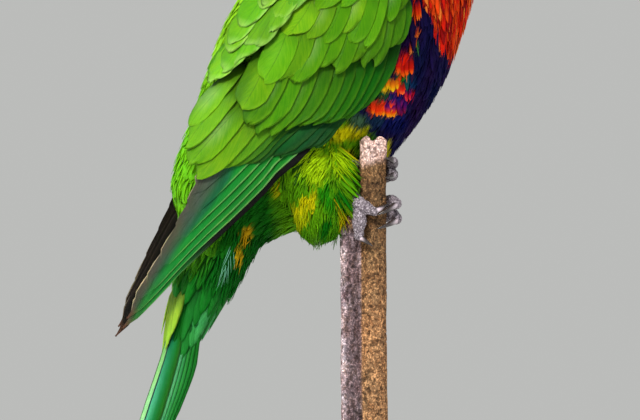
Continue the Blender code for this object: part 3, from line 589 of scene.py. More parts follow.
def horn(name, rough, streak):
    """Bill or claw horn with fine growth lines and chips over the painted colour."""
    k = Nodes(name)
    lines = k.noise(700.0, 5.0, 0.6)
    chips = k.noise(2600.0, 2.0, 0.7)
    colour = k.stain(k.spread(lines, 0.35, 0.7, 0.0, streak), k.paint(), (1.5, 1.25, 1.2))
    colour = k.blend(k.spread(chips, 0.5, 0.8, 0.0, 0.2), colour, (0.5, 0.42, 0.36))
    k.bump(k.math("ADD", lines, k.math("MULTIPLY", chips, 0.3)), 0.25, 0.0002)
    return k.finish(colour, k.spread(lines, 0.3, 0.7, rough - 0.06, rough + 0.1),
                    Specular_IOR_Level=0.5, Coat_Weight=0.25, Coat_Roughness=0.2)


def eye_material():
    """A wet iris with fibres in it."""
    k = Nodes("eye_gloss")
    fibres = k.noise(1800.0, 3.0, 0.7)
    colour = k.stain(k.spread(fibres, 0.35, 0.7, 0.0, 0.35), k.paint(), (0.45, 0.3, 0.3))
    k.bump(fibres, 0.03, 0.00005)
    return k.finish(colour, k.spread(fibres, 0.3, 0.7, 0.05, 0.09), Coat_Weight=0.25,
                    Coat_Roughness=0.03, Specular_IOR_Level=0.3)


def bark_material():
    """Weathered bark: broad pale bands, dark grain and light flecks."""
    k = Nodes("bark")
    upright = k.stretched(k.places(), (1.0, 1.0, 0.6))
    grain = k.noise(900.0, 4.0, 0.6, upright)
    flecks = k.noise(1700.0, 2.0, 0.5)
    broad = k.noise(160.0, 3.0, 0.5, upright)
    colour = k.stain(k.spread(broad, 0.4, 0.65, 0.0, 0.5), k.paint(), (1.5, 1.3, 1.15))
    colour = k.stain(k.spread(grain, 0.42, 0.54, 0.75, 0.0), colour, (0.3, 0.23, 0.17))
    colour = k.stain(k.spread(flecks, 0.52, 0.6, 0.0, 0.75), colour, (3.0, 2.9, 2.8))
    k.bump(k.math("ADD", grain, k.math("MULTIPLY", flecks, 0.5)), 1.0, 0.0007)
    return k.finish(colour, k.spread(grain, 0.3, 0.7, 0.7, 0.95), Specular_IOR_Level=0.2)


def stand_paint():
    """Dark paint with a fine orange peel and a little dust."""
    k = Nodes("stand_paint")
    orange_peel = k.noise(900.0, 2.0)
    dust = k.noise(140.0, 5.0, 0.7)
    colour = k.blend(k.spread(dust, 0.45, 0.8, 0.0, 0.25), (0.028, 0.028, 0.03),
                     (0.09, 0.088, 0.085))
    k.bump(orange_peel, 0.15, 0.0002)
    return k.finish(colour, k.spread(dust, 0.3, 0.8, 0.32, 0.55), Specular_IOR_Level=0.5)


def stand_steel():
    """Steel brushed along the rod."""
    k = Nodes("stand_steel")
    brush = k.noise(5200.0, 4.0, 0.6, k.stretched(k.places(), (1.0, 1.0, 0.03)))
    colour = k.blend(brush, (0.50, 0.50, 0.51), (0.66, 0.66, 0.66))
    k.bump(brush, 0.12, 0.0001)
    return k.finish(colour, k.spread(brush, 0.2, 0.8, 0.26, 0.42), Metallic=1.0)


# Places on the body

STATION_ROWS = np.array(smooth_rows(BODY, BODY_STEPS))
STATION_BATCH = 4000

def stations(points):
    """Station along the body and share from back to breast of each point."""
    p = points[:, [0, 2]]
    back, breast = STATION_ROWS[:, :2], STATION_ROWS[:, 2:4]
    across = breast - back
    length = np.linalg.norm(across, axis=1)
    station, share = np.empty(len(p)), np.empty(len(p))
    for first in range(0, len(p), STATION_BATCH):
        part = p[first:first + STATION_BATCH, None, :] - back[None]
        off = np.abs(part[..., 0] * across[:, 1] - part[..., 1] * across[:, 0]) / length
        along = (part * across).sum(-1) / length ** 2
        off = off + 30 * np.maximum(np.abs(along - 0.5) - 0.75, 0)
        best = off.argmin(1)
        station[first:first + STATION_BATCH] = best / BODY_STEPS
        share[first:first + STATION_BATCH] = np.take_along_axis(along, best[:, None], 1)[:, 0]
    return station, np.clip(share, 0, 1)


def body_flow(points):
    """The lie of the feathers on head, neck and body, from the bill to the tail."""
    station, share = stations(points)
    i = np.clip((station * BODY_STEPS).astype(int), 3, len(STATION_ROWS) - 4)
    ahead, behind = STATION_ROWS[i + 3], STATION_ROWS[i - 3]
    way = mix(behind[:, :2] - ahead[:, :2], behind[:, 2:4] - ahead[:, 2:4], share)
    return unit(np.stack([way[:, 0], np.zeros(len(way)), way[:, 1]], 1))


def breast_flow(points):
    """The long feathers of the breast lie down and a little ahead."""
    return unit(0.45 * body_flow(points) + 0.7 * np.array([0.42, 0.0, -0.9]))


def thigh_flow(points):
    """The thigh's feathers lie back at its top and down at its foot."""
    deep = ramp(166 - points[:, 2], 0, 30)
    return unit(np.stack([-0.8 + 0.7 * deep, np.zeros(len(deep)), -0.6 - 0.4 * deep], 1))


def straight_down(points):
    return np.tile(np.array([-0.06, 0.0, -1.0]), (len(points), 1))


def ahead_flow(points):
    """The thigh's upper feathers spread ahead towards the stem."""
    return np.tile(unit(np.array([0.62, 0.0, -0.78])), (len(points), 1))


def tail_flow(points):
    return np.tile(TAIL_FRAME[1], (len(points), 1))


def pad_flow(points):
    """The small feathers of the wing point back and a little towards its lower edge."""
    s, _ = wing_place(points[:, 0], points[:, 2])
    swing = np.radians(-38 + 26 * ramp(s, 18, 50))[:, None]
    along, across = (np.array([way[0], 0, way[1]]) for way in (WING_ALONG, WING_ACROSS))
    return along * np.cos(swing) + across * np.sin(swing)


# The tail's coverts, the side of the body and the places on a folded wing over it

def tail_place(points):
    """How far down the tail each point is, and how high over the tail's axis."""
    root, axis, up = TAIL_FRAME
    return (points - root) @ axis, (points - root) @ up


def tail_girth(distance):
    """Half the depth and half the width of the tail's coverts."""
    where, *sizes = zip(*TAIL_COVERTS)
    return [np.interp(max(distance, 0), where, size) for size in sizes]


def round_tail(distance, turns, depth, wide):
    """Points round the tail, from its upper side on."""
    root, axis, up = TAIL_FRAME
    return (root + axis * distance + up * depth * np.cos(turns)[:, None]
            + SIDEWAYS * wide * np.sin(turns)[:, None])


def wing_place(x, z):
    """The place along and across the folded wing."""
    dx, dz = x - WING_BEND[0], z - WING_BEND[1]
    return dx * WING_ALONG[0] + dz * WING_ALONG[1], dx * WING_ACROSS[0] + dz * WING_ACROSS[1]


def tree_of(points, faces):
    return BVHTree.FromPolygons([Vector(p) for p in points], [tuple(f) for f in faces])


def node_data(name):
    mesh = NODES[name].data
    return points_of(mesh), [tuple(face.vertices) for face in mesh.polygons]


class BodySide:
    """How far from the middle plane a folded wing lies, over the side of the body."""

    def __init__(self):
        trees = [tree_of(*node_data(name)) for name in
                 ("torso", "neck", "tail", "thigh_left", "thigh_right")]
        self.x = np.arange(SIDE_X[0], SIDE_X[1] + SIDE_STEP, SIDE_STEP)
        self.z = np.arange(SIDE_Z[0], SIDE_Z[1] + SIDE_STEP, SIDE_STEP)
        body = np.zeros((len(self.x), len(self.z)))
        for i, x in enumerate(self.x):
            for k, z in enumerate(self.z):
                for side in (1, -1):
                    hits = [tree.ray_cast(Vector((x, side * 100.0, z)), Vector((0, -side, 0)))[0]
                            for tree in trees]
                    body[i, k] = max([side * hit.y for hit in hits if hit] + [body[i, k]])
        s, t = wing_place(self.x[:, None], self.z[None, :])
        blade = np.interp(s, [row[0] for row in BLADE], [row[1] for row in BLADE])
        blade = np.maximum(blade - BLADE_CURVE * np.maximum(t, 0) ** 2, BLADE_LEAST)
        surface = np.maximum(body + SIDE_CLEARANCE, blade)
        for _ in range(SIDE_BLURS):
            padded = np.pad(surface, 1, mode="edge")
            rows = (padded[:-2] + 2 * padded[1:-1] + padded[2:]) / 4
            surface = (rows[:, :-2] + 2 * rows[:, 1:-1] + rows[:, 2:]) / 4
        widest = body.copy()
        for axis in (0, 1):
            for shift in (-1, 1):
                widest = np.maximum(widest, np.roll(body, shift, axis))
        self.surface = np.maximum(surface, widest + SIDE_LEAST)

    def reach(self, x, z):
        """How far the wing's underside lies from the middle plane."""
        i = np.clip((x - SIDE_X[0]) / SIDE_STEP, 0, len(self.x) - 1.001)
        k = np.clip((z - SIDE_Z[0]) / SIDE_STEP, 0, len(self.z) - 1.001)
        i0, k0 = i.astype(int), k.astype(int)
        rest = k - k0
        near = over(self.surface[i0, k0], self.surface[i0, k0 + 1], rest)
        far = over(self.surface[i0 + 1, k0], self.surface[i0 + 1, k0 + 1], rest)
        return over(near, far, i - i0)

    def lay(self, s, t, height, far):
        """Points over the left side and the directions out of it."""
        if far:
            tip = np.maximum(s - FAR_TIP[0], 0)
            t = t - FAR_TUCK[1] * np.maximum(t - FAR_TUCK[0], 0) - FAR_TIP[2] * tip
            t = np.minimum(t, FAR_UPPER[0] + FAR_UPPER[1] * (t - FAR_UPPER[0]))
            s = s + FAR_TIP[1] * tip
        x = WING_BEND[0] + WING_ALONG[0] * s + WING_ACROSS[0] * t
        z = WING_BEND[1] + WING_ALONG[1] * s + WING_ACROSS[1] * t
        most, low, high = FAR_LOWERED if far else NEAR_LOWERED
        height = np.asarray(height) * (1 - most * ramp(t, low, high))
        if not far:
            height = height - NEAR_DROP[0] * ramp(t, *NEAR_DROP[1:])
        step = SLOPE_STEP
        slope_x = (self.reach(x + step, z) - self.reach(x - step, z)) / (2 * step)
        slope_z = (self.reach(x, z + step) - self.reach(x, z - step)) / (2 * step)
        out = unit(np.stack([-slope_x, np.ones_like(x), -slope_z], -1))
        place = np.stack([x, self.reach(x, z), z], -1) + out * height[..., None]
        return place, out


SIDE = BodySide()


def pad_rings(far):
    """The wing's flesh under its feathers."""
    rings = []
    for s, low, high, thickness in smooth_rows(WING_PAD, 3):
        inner, outer = [], []
        for k in range(12):
            share = k / 11
            crown = 0.3 + 0.7 * math.sqrt(max(math.sin(math.pi * share), 0.0))
            t = np.array([low + (high - low) * share])
            place = np.array([s])
            inner.append(SIDE.lay(place, t, np.array([-2.5]), far)[0][0])
            outer.append(SIDE.lay(place, t, np.array([thickness * crown]), far)[0][0])
        rings.append(inner + outer[::-1])
    if not far:
        rings = [[point * np.array([1, -1, 1]) for point in ring] for ring in rings]
    return rings


def tail_rings():
    """The tail's flesh under its coverts."""
    rings = []
    for distance, half_depth, half_width in smooth_rows(TAIL_COVERTS, 4):
        middle = TAIL_ROOT + TAIL_AXIS * (distance - 3.0)
        up = TAIL_UP * half_depth
        rings.append(ring_between(middle + up, middle - up, half_width, 40))
    return rings


def make_skin(material):
    """One skin over head, neck, body, thighs, wings and tail, a coat's depth inside them."""
    sets = []
    for name in ("torso", "neck", "head", "thigh_left", "thigh_right"):
        points, faces = node_data(name)
        sets.append((points + normals_of(NODES[name].data) * SKIN_SWELL, faces))
    extra = {"pad_left": loft_data(pad_rings(True)), "pad_right": loft_data(pad_rings(False)),
             "tail": loft_data(tail_rings())}
    points, faces = join_data([*sets, *extra.values()])
    mesh, places, normals = fused("skin_form", points, faces, SKIN_VOXEL, 0.5, 6)
    mesh.name = "skin"
    depth = SKIN_SWELL + SKIN_DEPTH - 0.8 * ramp(stations(places)[0], HEAD_START - 1, 13)
    move_points(mesh, places - normals * depth[:, None])
    return placed("skin", mesh, material), extra


AROUND = list(itertools.product((-1, 0, 1), repeat=3))


class Skin:
    """The skin's surface for growing feathers on."""

    def __init__(self, mesh, extra):
        self.points = points_of(mesh)
        self.normals = normals_of(mesh)
        mesh.calc_loop_triangles()
        self.tris = np.array([tuple(t.vertices) for t in mesh.loop_triangles])
        self.face_normals = unit(self.normals[self.tris].mean(1))
        self.tree = tree_of(self.points, self.tris)
        corner = self.points[self.tris]
        edges = corner[:, 1] - corner[:, 0], corner[:, 2] - corner[:, 0]
        self.areas = np.linalg.norm(np.cross(*edges), axis=1) / 2
        groups = {"body": [node_data(name) for name in ("torso", "neck", "head")],
                  "thigh": [node_data(name) for name in ("thigh_left", "thigh_right")],
                  "tail": [extra["tail"]], "pad": [extra["pad_left"], extra["pad_right"]]}
        self.labels = list(groups)
        self.trees = [[tree_of(*data) for data in sets] for sets in groups.values()]
        centres = corner.mean(1)
        self.label = self.sort(centres)
        self.station, self.share = stations(centres)

    def sort(self, points):
        """Which part of the bird each point belongs to."""
        far = np.empty((len(points), len(self.trees)))
        for i, p in enumerate(points):
            spot = Vector(p)
            for k, trees in enumerate(self.trees):
                far[i, k] = min(tree.find_nearest(spot)[3] for tree in trees)
        return far.argmin(1)

    def nearest(self, points):
        """The skin's nearest places, and the way out of it there."""
        places, normals = np.empty_like(points), np.empty_like(points)
        for i, p in enumerate(points):
            where, _, face, _ = self.tree.find_nearest(Vector(p))
            places[i] = where
            normals[i] = self.face_normals[face]
        return places, normals

    def scatter(self, where, spacing, seed):
        """Points on the chosen faces that stay at least the spacing apart."""
        draw = np.random.default_rng(seed)
        chosen = np.flatnonzero(where)
        weight = self.areas[chosen]
        count = int(5.0 * weight.sum() / spacing ** 2)
        face = draw.choice(chosen, count, p=weight / weight.sum())
        a, b = draw.random(count), draw.random(count)
        beyond = a + b > 1
        a[beyond], b[beyond] = 1 - a[beyond], 1 - b[beyond]
        corner = self.points[self.tris[face]]
        first, second = corner[:, 1] - corner[:, 0], corner[:, 2] - corner[:, 0]
        spots = corner[:, 0] + a[:, None] * first + b[:, None] * second
        cells, kept, least = {}, [], spacing ** 2
        keys = np.floor(spots / spacing).astype(int).tolist()
        for i, ((cx, cy, cz), (px, py, pz)) in enumerate(zip(keys, spots.tolist())):
            close = (q for dx, dy, dz in AROUND for q in cells.get((cx + dx, cy + dy, cz + dz), ()))
            if any((qx - px) ** 2 + (qy - py) ** 2 + (qz - pz) ** 2 < least for qx, qy, qz in close):
                continue
            cells.setdefault((cx, cy, cz), []).append((px, py, pz))
            kept.append(i)
        return spots[kept], self.face_normals[face[kept]]


# Markings, the same on skin and coat

def spot(x, z, cx, cz, rx, rz, turn=0.0):
    """1 inside an oval on the side of the bird, 0 outside, soft between."""
    c, s = math.cos(math.radians(turn)), math.sin(math.radians(turn))
    dx, dz = x - cx, z - cz
    return 1 - ramp(np.hypot((dx * c + dz * s) / rx, (dz * c - dx * s) / rz), 0.7, 1.25)


FLANK = (
    (10.0, 166.8, 4.0, 2.4, -10.0, tint(58, 92, 66)), (16.4, 167.4, 4.2, 2.4, -10.0, tint(22, 50, 84)),
    (24.6, 166.2, 5.4, 3.6, 0.0, tint(6, 14, 84)), (24.7, 180.2, 2.5, 2.0, 0.0, tint(20, 104, 16)),
    (28.3, 179.4, 2.2, 2.6, 0.0, tint(6, 46, 92)), (22.8, 174.0, 5.2, 2.5, -8.0, tint(24, 20, 112)),
    (18.4, 175.2, 2.8, 1.6, -8.0, tint(20, 84, 44)), (26.6, 172.4, 2.6, 1.5, -8.0, tint(80, 8, 110)),
    (25.2, 185.4, 2.9, 3.4, -25.0, tint(232, 30, 6)), (24.5, 182.9, 3.2, 0.8, 0.0, tint(250, 110, 6)),
    (22.0, 178.5, 3.6, 1.4, -8.0, ORANGE), (19.6, 178.0, 1.8, 1.1, -8.0, YELLOW),
    (24.8, 177.9, 1.9, 0.9, -12.0, tint(232, 40, 20)), (28.5, 175.5, 2.0, 1.3, -10.0, tint(196, 10, 40)),
    (19.4, 171.4, 5.8, 1.8, -6.0, tint(246, 50, 8)), (21.2, 170.2, 3.4, 0.9, -10.0, tint(255, 150, 6)),
    (15.4, 171.4, 2.2, 1.4, 0.0, tint(246, 76, 10)), (28.7, 194.8, 0.9, 2.6, 8.0, ORANGE),
    (28.9, 190.6, 1.5, 2.2, 0.0, tint(52, 112, 50)), (28.0, 203.0, 1.3, 4.4, 5.0, RED),
)
UNDER = (
    (5.0, 163.0, 9.0, 2.4, 0.0, THIGH_YELLOW), (7.6, 156.0, 2.4, 2.6, 0.0, tint(150, 160, 4)),
    (-14.2, 145.8, 3.4, 3.4, 30.0, THIGH_YELLOW * 0.8), (9.4, 147.5, 2.6, 6.0, 0.0, THIGH_DEEP),
    (22.9, 157.4, 1.1, 3.6, 0.0, tint(176, 168, 10)),
    (-25.0, 130.6, 2.2, 2.8, 0.0, tint(160, 124, 2)), (-27.6, 124.0, 1.1, 3.4, 20.0, tint(160, 128, 4)),
)


def patched(points, base, tip, patches, root=0.85):
    """Lay oval patches of colour over the side of the bird."""
    x, z = points[:, 0], points[:, 2]
    for cx, cz, rx, rz, turn, shade in patches:
        here = spot(x, z, cx, cz, rx, rz, turn)
        base, tip = mix(base, shade * root, here), mix(tip, shade, here)
    return base, tip


def markings(points, wobble=0.5, seed=1):
    """Colour at the root and at the tip of the feathers at each point."""
    shift = wobble * cloud(points, 0.35, seed)
    moved = np.stack([points[:, 0] + shift, np.abs(points[:, 1]),
                      points[:, 2] + wobble * cloud(points, 0.35, seed + 5)], 1)
    x, y, z = moved.T
    station, share = stations(moved)
    soft = cloud(points, 0.07, seed + 9)
    base = mix(LEAF, LEAF_LIGHT, 0.35 + 0.3 * soft) * 0.7
    tip = mix(LEAF_LIGHT * 1.25, LEAF, 0.35 - 0.3 * soft)
    rump = ramp(4.6 - station, 0, 1.6) * (1 - ramp(share, 0.4, 0.6))
    base, tip = mix(base, RUMP * 0.7, rump), mix(tip, RUMP, rump)
    leg = ramp(share, 0.3, 0.45) * (1 - ramp(z, 166, 170))
    green = mix(THIGH_GREEN, THIGH_DEEP, 0.3 - 0.3 * soft)
    base, tip = mix(base, green * 0.5, leg), mix(tip, green, leg)
    # The vent, behind the thigh and under the wing, is painted deep green: its own green with painted
    # shade.
    vent = ramp(share, 0.3, 0.45) * (1 - ramp(x + 0.4 * (z - 140), -20, -13))
    base, tip = mix(base, SHADED_VENT * 0.6, vent), mix(tip, SHADED_VENT * 1.2, vent)
    low = np.interp(x, [0, 8, 14, 22, 30], [171, 168, 164.5, 157, 149])
    belly = ramp(share, 0.42, 0.52) * ramp(z, low - 1.2, low + 1.2)
    dark = mix(NAVY, VIOLET, 0.4 + 0.6 * cloud(points, 0.12, seed + 11)) * 0.48
    base, tip = mix(base, dark * 0.22, belly), mix(tip, dark, belly)
    top = np.interp(x, [27, 31.1, 32.8, 35.2, 39.3, 44.1, 56],
                    [214, 205.8, 202, 196, 190.1, 187.6, 186.6])
    side = np.interp(station, [5.5, 7, 8.2, 9.4], [0.55, 0.45, 0.36, 0.34])
    red = ramp(z, top - 0.8, top + 0.8) * ramp(share, side - 0.04, side + 0.04)
    base, tip = mix(base, DEEP_RED * 0.6, red), mix(tip, RED, red)
    collar = ramp(station, 8.0, 8.5) * (1 - ramp(station, 9.3, 9.7)) * (1 - ramp(share, 0.36, 0.46))
    base, tip = mix(base, COLLAR * 0.7, collar), mix(tip, COLLAR, collar)
    hood = ramp(station, 9.3, 9.8)
    crown = mix(HOOD, HOOD_LIGHT, ramp(share, 0.75, 0.1) * 0.6)
    base, tip = mix(base, HOOD_DARK, hood), mix(tip, crown, hood)
    outer = y > 5
    side_base, side_tip = patched(moved, base, tip, UNDER + FLANK)
    base[outer], tip[outer] = side_base[outer], side_tip[outer]
    return base, tip


LEG = (
    (-8.2, 141.0, 1.9, 4.4, -25.0, THIGH_YELLOW * 0.9), (-9.8, 136.0, 2.6, 2.4, 0.0, tint(160, 170, 0)),
    (3.4, 135.6, 2.0, 3.4, 0.0, tint(176, 160, 0)), (-2.8, 143.0, 2.4, 5.4, 25.0, tint(30, 124, 4)),
    (2.2, 141.6, 2.4, 3.0, 0.0, THIGH_DEEP), (-2.6, 133.6, 1.8, 3.2, 0.0, THIGH_DEEP),
    (-1.0, 162.0, 6.5, 3.4, 0.0, tint(196, 212, 8)), (2.6, 155.0, 4.2, 7.0, 0.0, tint(150, 190, 4)),
    (9.4, 150.0, 4.2, 8.4, 0.0, tint(66, 142, 4)), (7.6, 156.6, 1.6, 2.6, 0.0, tint(160, 158, 6)),
    (-7.0, 153.0, 5.0, 6.0, 30.0, tint(150, 190, 6)), (-4.0, 128.0, 7.0, 1.6, 0.0, tint(120, 150, 110)),
)


def thigh_markings(points, seed=2):
    shift = 0.8 * np.stack([cloud(points, 0.35, seed), np.zeros(len(points)),
                            cloud(points, 0.35, seed + 5)], 1)
    soft = cloud(points, 0.14, seed + 9)
    tip = mix(THIGH_GREEN, THIGH_DEEP, 0.25 - 0.35 * soft)
    return patched(points + shift, tip * 0.5, tip, LEG)


def tail_markings(points, seed=3):
    down_tail, height = tail_place(points)
    soft = cloud(points, 0.1, seed)
    above = ramp(height, 1, 8)
    tip = mix(TAIL_GREEN * 0.7, RUMP, above * (1 - ramp(down_tail, 2, 22)))
    tip = mix(tip, TAIL_GREEN * 1.1, ramp(down_tail, 14, 26))
    bands = 0.5 + 0.5 * np.sin(11 * np.arctan2(np.abs(points[:, 1]), height) + 0.8)
    below = ramp(down_tail, 20, 32) * ramp(-height, -4, 1)
    tip = mix(tip, mix(tint(16, 104, 34), tint(62, 162, 88), bands), below)
    tip = mix(tip, TAIL_LIME * 0.8, ramp(points[:, 1], 0.5, 3.0) * above)
    tip = tip * (1 + 0.25 * soft)[:, None]
    return patched(points, tip * 0.55, tip, UNDER[-2:])


def pad_markings(points, seed=4):
    s, t = wing_place(points[:, 0], points[:, 2])
    soft = cloud(points, 0.12, seed)
    tip = mix(LEAF, LEAF_LIGHT, 0.3 + 0.4 * soft)
    # Painted shade: the feathers along the wing's lower front edge are painted deep green, for the shadow
    # in the gap between wing and belly.
    edge = 1 - ramp(t - 0.25 * s, -6, 2)
    tip = mix(tip, LEAF_DEEP * 0.35, edge * 0.9)
    return tip * 0.6, tip


MARKS = {"body": markings, "thigh": thigh_markings, "tail": tail_markings, "pad": pad_markings}
FLOWS = {"body": body_flow, "thigh": thigh_flow, "tail": tail_flow, "pad": pad_flow}


# Coat

LOCK_SHARES = np.array([0.0, 0.3, 0.65, 1.0])
LOCK_WIDTHS = np.array([0.55, 1.0, 0.8, 0.08])
LOCK_COLUMNS = np.array([-1.0, 0.0, 1.0])
WEB_SHARES = np.array([0.0, 0.25, 0.5, 0.75, 0.92, 1.0])
WEB_WIDTHS = np.array([0.5, 0.85, 1.0, 0.92, 0.6, 0.14])
POINTED_WIDTHS = np.array([0.5, 0.9, 1.0, 0.76, 0.42, 0.06])
WEB_COLUMNS = np.array([-1.0, -0.55, 0.0, 0.55, 1.0])


def follow(skin, roots, normals, flow, lengths, shares, turn, hug):
    """Lines from each root along the lie of the coat, with the skin's normals under them."""
    places, outs = [roots], [normals]
    here, out = roots, normals
    for low, high in zip(shares, shares[1:]):
        way = flow(here)
        way = unit(way - out * (way * out).sum(1, keepdims=True))
        way = way * np.cos(turn)[:, None] + np.cross(out, way) * np.sin(turn)[:, None]
        reach = here + way * (lengths * (high - low))[:, None]
        near, normal = skin.nearest(reach)
        gap = np.linalg.norm(near - reach, axis=1)
        free = (gap > hug)[:, None]
        here = np.where(free, reach, near)
        out = np.where(free, out, normal)
        places.append(here)
        outs.append(out)
    return np.stack(places, 1), np.stack(outs, 1)


def bake_spots(roots, kind):
    """A place on an unwrap of the skin for each root: along the body and round it."""
    if kind == "tail":
        down_tail, height = tail_place(roots)
        along = down_tail / 60
        around = np.arctan2(roots[:, 1], height) / TURN + 0.5
    elif kind == "pad":
        s, t = wing_place(roots[:, 0], roots[:, 2])
        along, around = (s + 15) / 100, (t + 16) / 45
    elif kind == "thigh":
        along = (roots[:, 2] - 122) / 52
        around = np.arctan2(np.abs(roots[:, 1]) - 16, roots[:, 0] + 4) / TURN + 0.5
    else:
        station, share = stations(roots)
        along = station / 15.5
        around = 0.5 + np.sign(roots[:, 1]) * share / 2
    return np.clip(np.stack([along, around], 1), 0.004, 0.996)


def grow(skin, kind, roots, normals, length, width, lift, seed, web=False, turn=12.0,
         thick=0.22, flow=None, marks=None, exact=False, pointed=False, bands=None, hug=2.0):
    """Feathers of one sort on their roots, as closed thin vanes."""
    draw = np.random.default_rng(seed)
    n = len(roots)
    shares, widths, columns = ((WEB_SHARES, WEB_WIDTHS, WEB_COLUMNS) if web
                               else (LOCK_SHARES, LOCK_WIDTHS, LOCK_COLUMNS))
    widths = POINTED_WIDTHS if pointed else widths
    widths = widths if bands is None else BAND_WIDTHS
    lengths = np.broadcast_to(length, n) * (draw.uniform(0.8, 1.15, n) if bands is None else 1)
    swing = np.radians(draw.normal(0, turn, n))
    line, out = follow(skin, roots, normals, flow or FLOWS[kind], lengths, shares, swing, hug)
    seen = line[:, 3 if web else 2].copy()
    lifts = np.broadcast_to(lift, n) * draw.uniform(0.75, 1.25, n)
    rise = -0.35 + (lifts[:, None] + 0.35) * np.sqrt(shares)[None]
    line = line + out * rise[..., None]
    ahead = unit(np.gradient(line, axis=1))
    side = unit(np.cross(out, ahead))
    top = np.cross(ahead, side)
    half = 0.5 * np.broadcast_to(width, n)[:, None] * widths[None] * draw.uniform(0.85, 1.15, (n, 1))
    ragged = half[..., None] * (1 + draw.uniform(-0.07, 0.07, (n, len(shares), len(columns))))
    reach = columns[None, None] * ragged
    mid = line[:, :, None] + side[:, :, None] * reach[..., None]
    mid = mid - top[:, :, None] * (0.28 * ragged * columns[None, None] ** 2)[..., None]
    flat = 1 - np.abs(columns) ** 2
    thickness = thick * flat[None, None] * (1 - 0.6 * shares)[None, :, None] * np.ones((n, 1, 1))
    base, tip = (marks or MARKS[kind])(seen)
    jitter = draw.normal(0, 0.08, (n, 1, 1, 1)) + 1
    share = ramp(shares, 0.1, 0.85)[None, :, None, None]
    if exact:
        stray = np.stack([draw.normal(0, 0.25, n), np.zeros(n), draw.normal(0, 0.35, n)], 1)
        tips = [MARKS[kind](line[:, i] + stray)[1] for i in range(len(shares))]
        tip = np.stack(tips, 1)[:, :, None]
        # Painted shade: each feather is darker towards its covered root.
        paint = tip * (0.6 + 0.4 * share) * jitter
    else:
        paint = over(base[:, None, None], tip[:, None, None], share) * jitter
    if bands is not None:
        paint = bands[:, :, None] * jitter
    # Painted shade: darker towards the root, where the feathers over it cover it.
    root = 0.55 if web else 0.8
    paint = paint * (root + (1 - root) * ramp(shares, 0.0, 0.5))[None, :, None, None]
    paint = np.broadcast_to(paint, mid.shape).copy()
    normal = np.broadcast_to(top[:, :, None], mid.shape)
    return shell_data(mid, normal, thickness, paint, bake_spots(roots, kind), columns, shares)


def streaky(marks, shades, amounts, seed):
    """Markings with a share of the feathers tipped in other colours."""
    def painted(points):
        base, tip = marks(points)
        draw = np.random.default_rng(seed)
        pick = draw.random(len(points))
        red = (tip[:, 0] > 0.3) & (tip[:, 1] < 0.2)
        low = 0.0
        for shade, amount in zip(shades, amounts):
            here = red & (pick >= low) & (pick < low + amount)
            tip[here] = shade
            base[here] = base[here] * 0.5 + shade * 0.5
            low += amount
        return base, tip
    return painted


# Banded feathers of the flank: x and z of the tip, width, length, then the colours from the
# covered root to the edge
BANDED = [
    (25.2, 181.6, 6.0, 8.0, (26, 20, 70), (180, 20, 12), (214, 24, 8), (246, 90, 10)),
    (28.0, 199.4, 2.6, 8.0, (60, 14, 60), (206, 30, 10), (236, 60, 8), (246, 110, 20)),
    (26.9, 188.4, 1.5, 5.0, (26, 16, 80), (120, 30, 40), (210, 80, 30), (236, 130, 60)),
    (28.6, 193.8, 1.5, 4.6, (30, 14, 80), (110, 26, 50), (206, 70, 26), (240, 120, 40)),
    (20.9, 176.6, 5.2, 6.2, (20, 80, 30), (200, 90, 10), (248, 140, 8), (250, 190, 16)),
    (24.6, 175.8, 3.4, 5.2, (8, 60, 60), (150, 24, 20), (224, 36, 20), (246, 100, 50)),
    (27.6, 173.9, 3.4, 5.0, (12, 20, 90), (80, 8, 80), (180, 16, 50), (206, 44, 60)),
    (16.5, 169.0, 5.6, 6.4, (30, 80, 40), (206, 44, 10), (246, 54, 8), (250, 110, 10)),
    (21.6, 168.3, 6.0, 6.6, (16, 20, 100), (100, 10, 100), (232, 54, 16), (252, 150, 10)),
    (25.6, 169.1, 4.0, 5.8, (10, 20, 96), (66, 8, 104), (110, 6, 84), (120, 10, 50)),
]
BAND_WIDTHS = np.array([0.6, 0.9, 1.0, 0.95, 0.6, 0.12])


def flank_bars(skin, side):
    """The feathers whose bright tips make the bars on the flank, five to each bar."""
    draw = np.random.default_rng(402)
    roots, outs, lengths, widths, colours = [], [], [], [], []
    for x, z, width, length, *shades in BANDED:
        for place in (-1, 1, -0.5, 0.5, 0):
            high = z + length + 0.9 * place ** 2 + draw.normal(0, 0.15)
            start = Vector((x + 0.36 * width * place, 30 * side, high))
            hit, _, face, _ = skin.tree.ray_cast(start, Vector((0, -side, 0)))
            roots.append(hit)
            outs.append(skin.face_normals[face])
            lengths.append(length)
            widths.append(0.42 * width)
            colours.append([tint(*shades[k]) for k in (0, 0, 1, 2, 3, 3)])
    return grow(skin, "body", *map(np.array, (roots, outs, lengths, widths)), 1.7, 401, web=True,
                turn=4.0, flow=lambda p: np.tile([0.04, 0.0, -1.0], (len(p), 1)),
                bands=np.array(colours))


def hood_marks(points):
    """Head feathers: dark at the root with a bright streak in some."""
    base, tip = markings(points)
    draw = np.random.default_rng(77)
    pick = draw.random(len(points))
    hood = tip[:, 2] > tip[:, 1] + 0.05
    bright = hood & (pick < 0.4)
    tip[bright] = mix(tip[bright], HOOD_LIGHT, np.full(bright.sum(), 0.7))
    dark = hood & (pick > 0.72)
    tip[dark] = HOOD_DARK * 1.2
    return base, tip


# Tail coverts: distance of the roots down the tail, how many round it, length and width
TAIL_ROWS = [
    (-9.0, 13, 18.0, 5.0), (-5.0, 13, 20.0, 5.0), (-1.0, 12, 22.0, 5.2), (3.0, 12, 23.0, 5.2),
    (8.0, 12, 22.0, 5.0), (13.0, 11, 21.0, 4.8), (18.0, 11, 20.0, 4.6), (23.0, 10, 18.0, 4.4),
    (28.0, 9, 16.0, 4.0),
]


def pale_barbs(points):
    tip = np.tile(tint(84, 144, 116), (len(points), 1))
    return tip, tip


def lime_coverts(points):
    tip = np.tile(tint(150, 190, 52), (len(points), 1))
    return tip * 0.35, tip


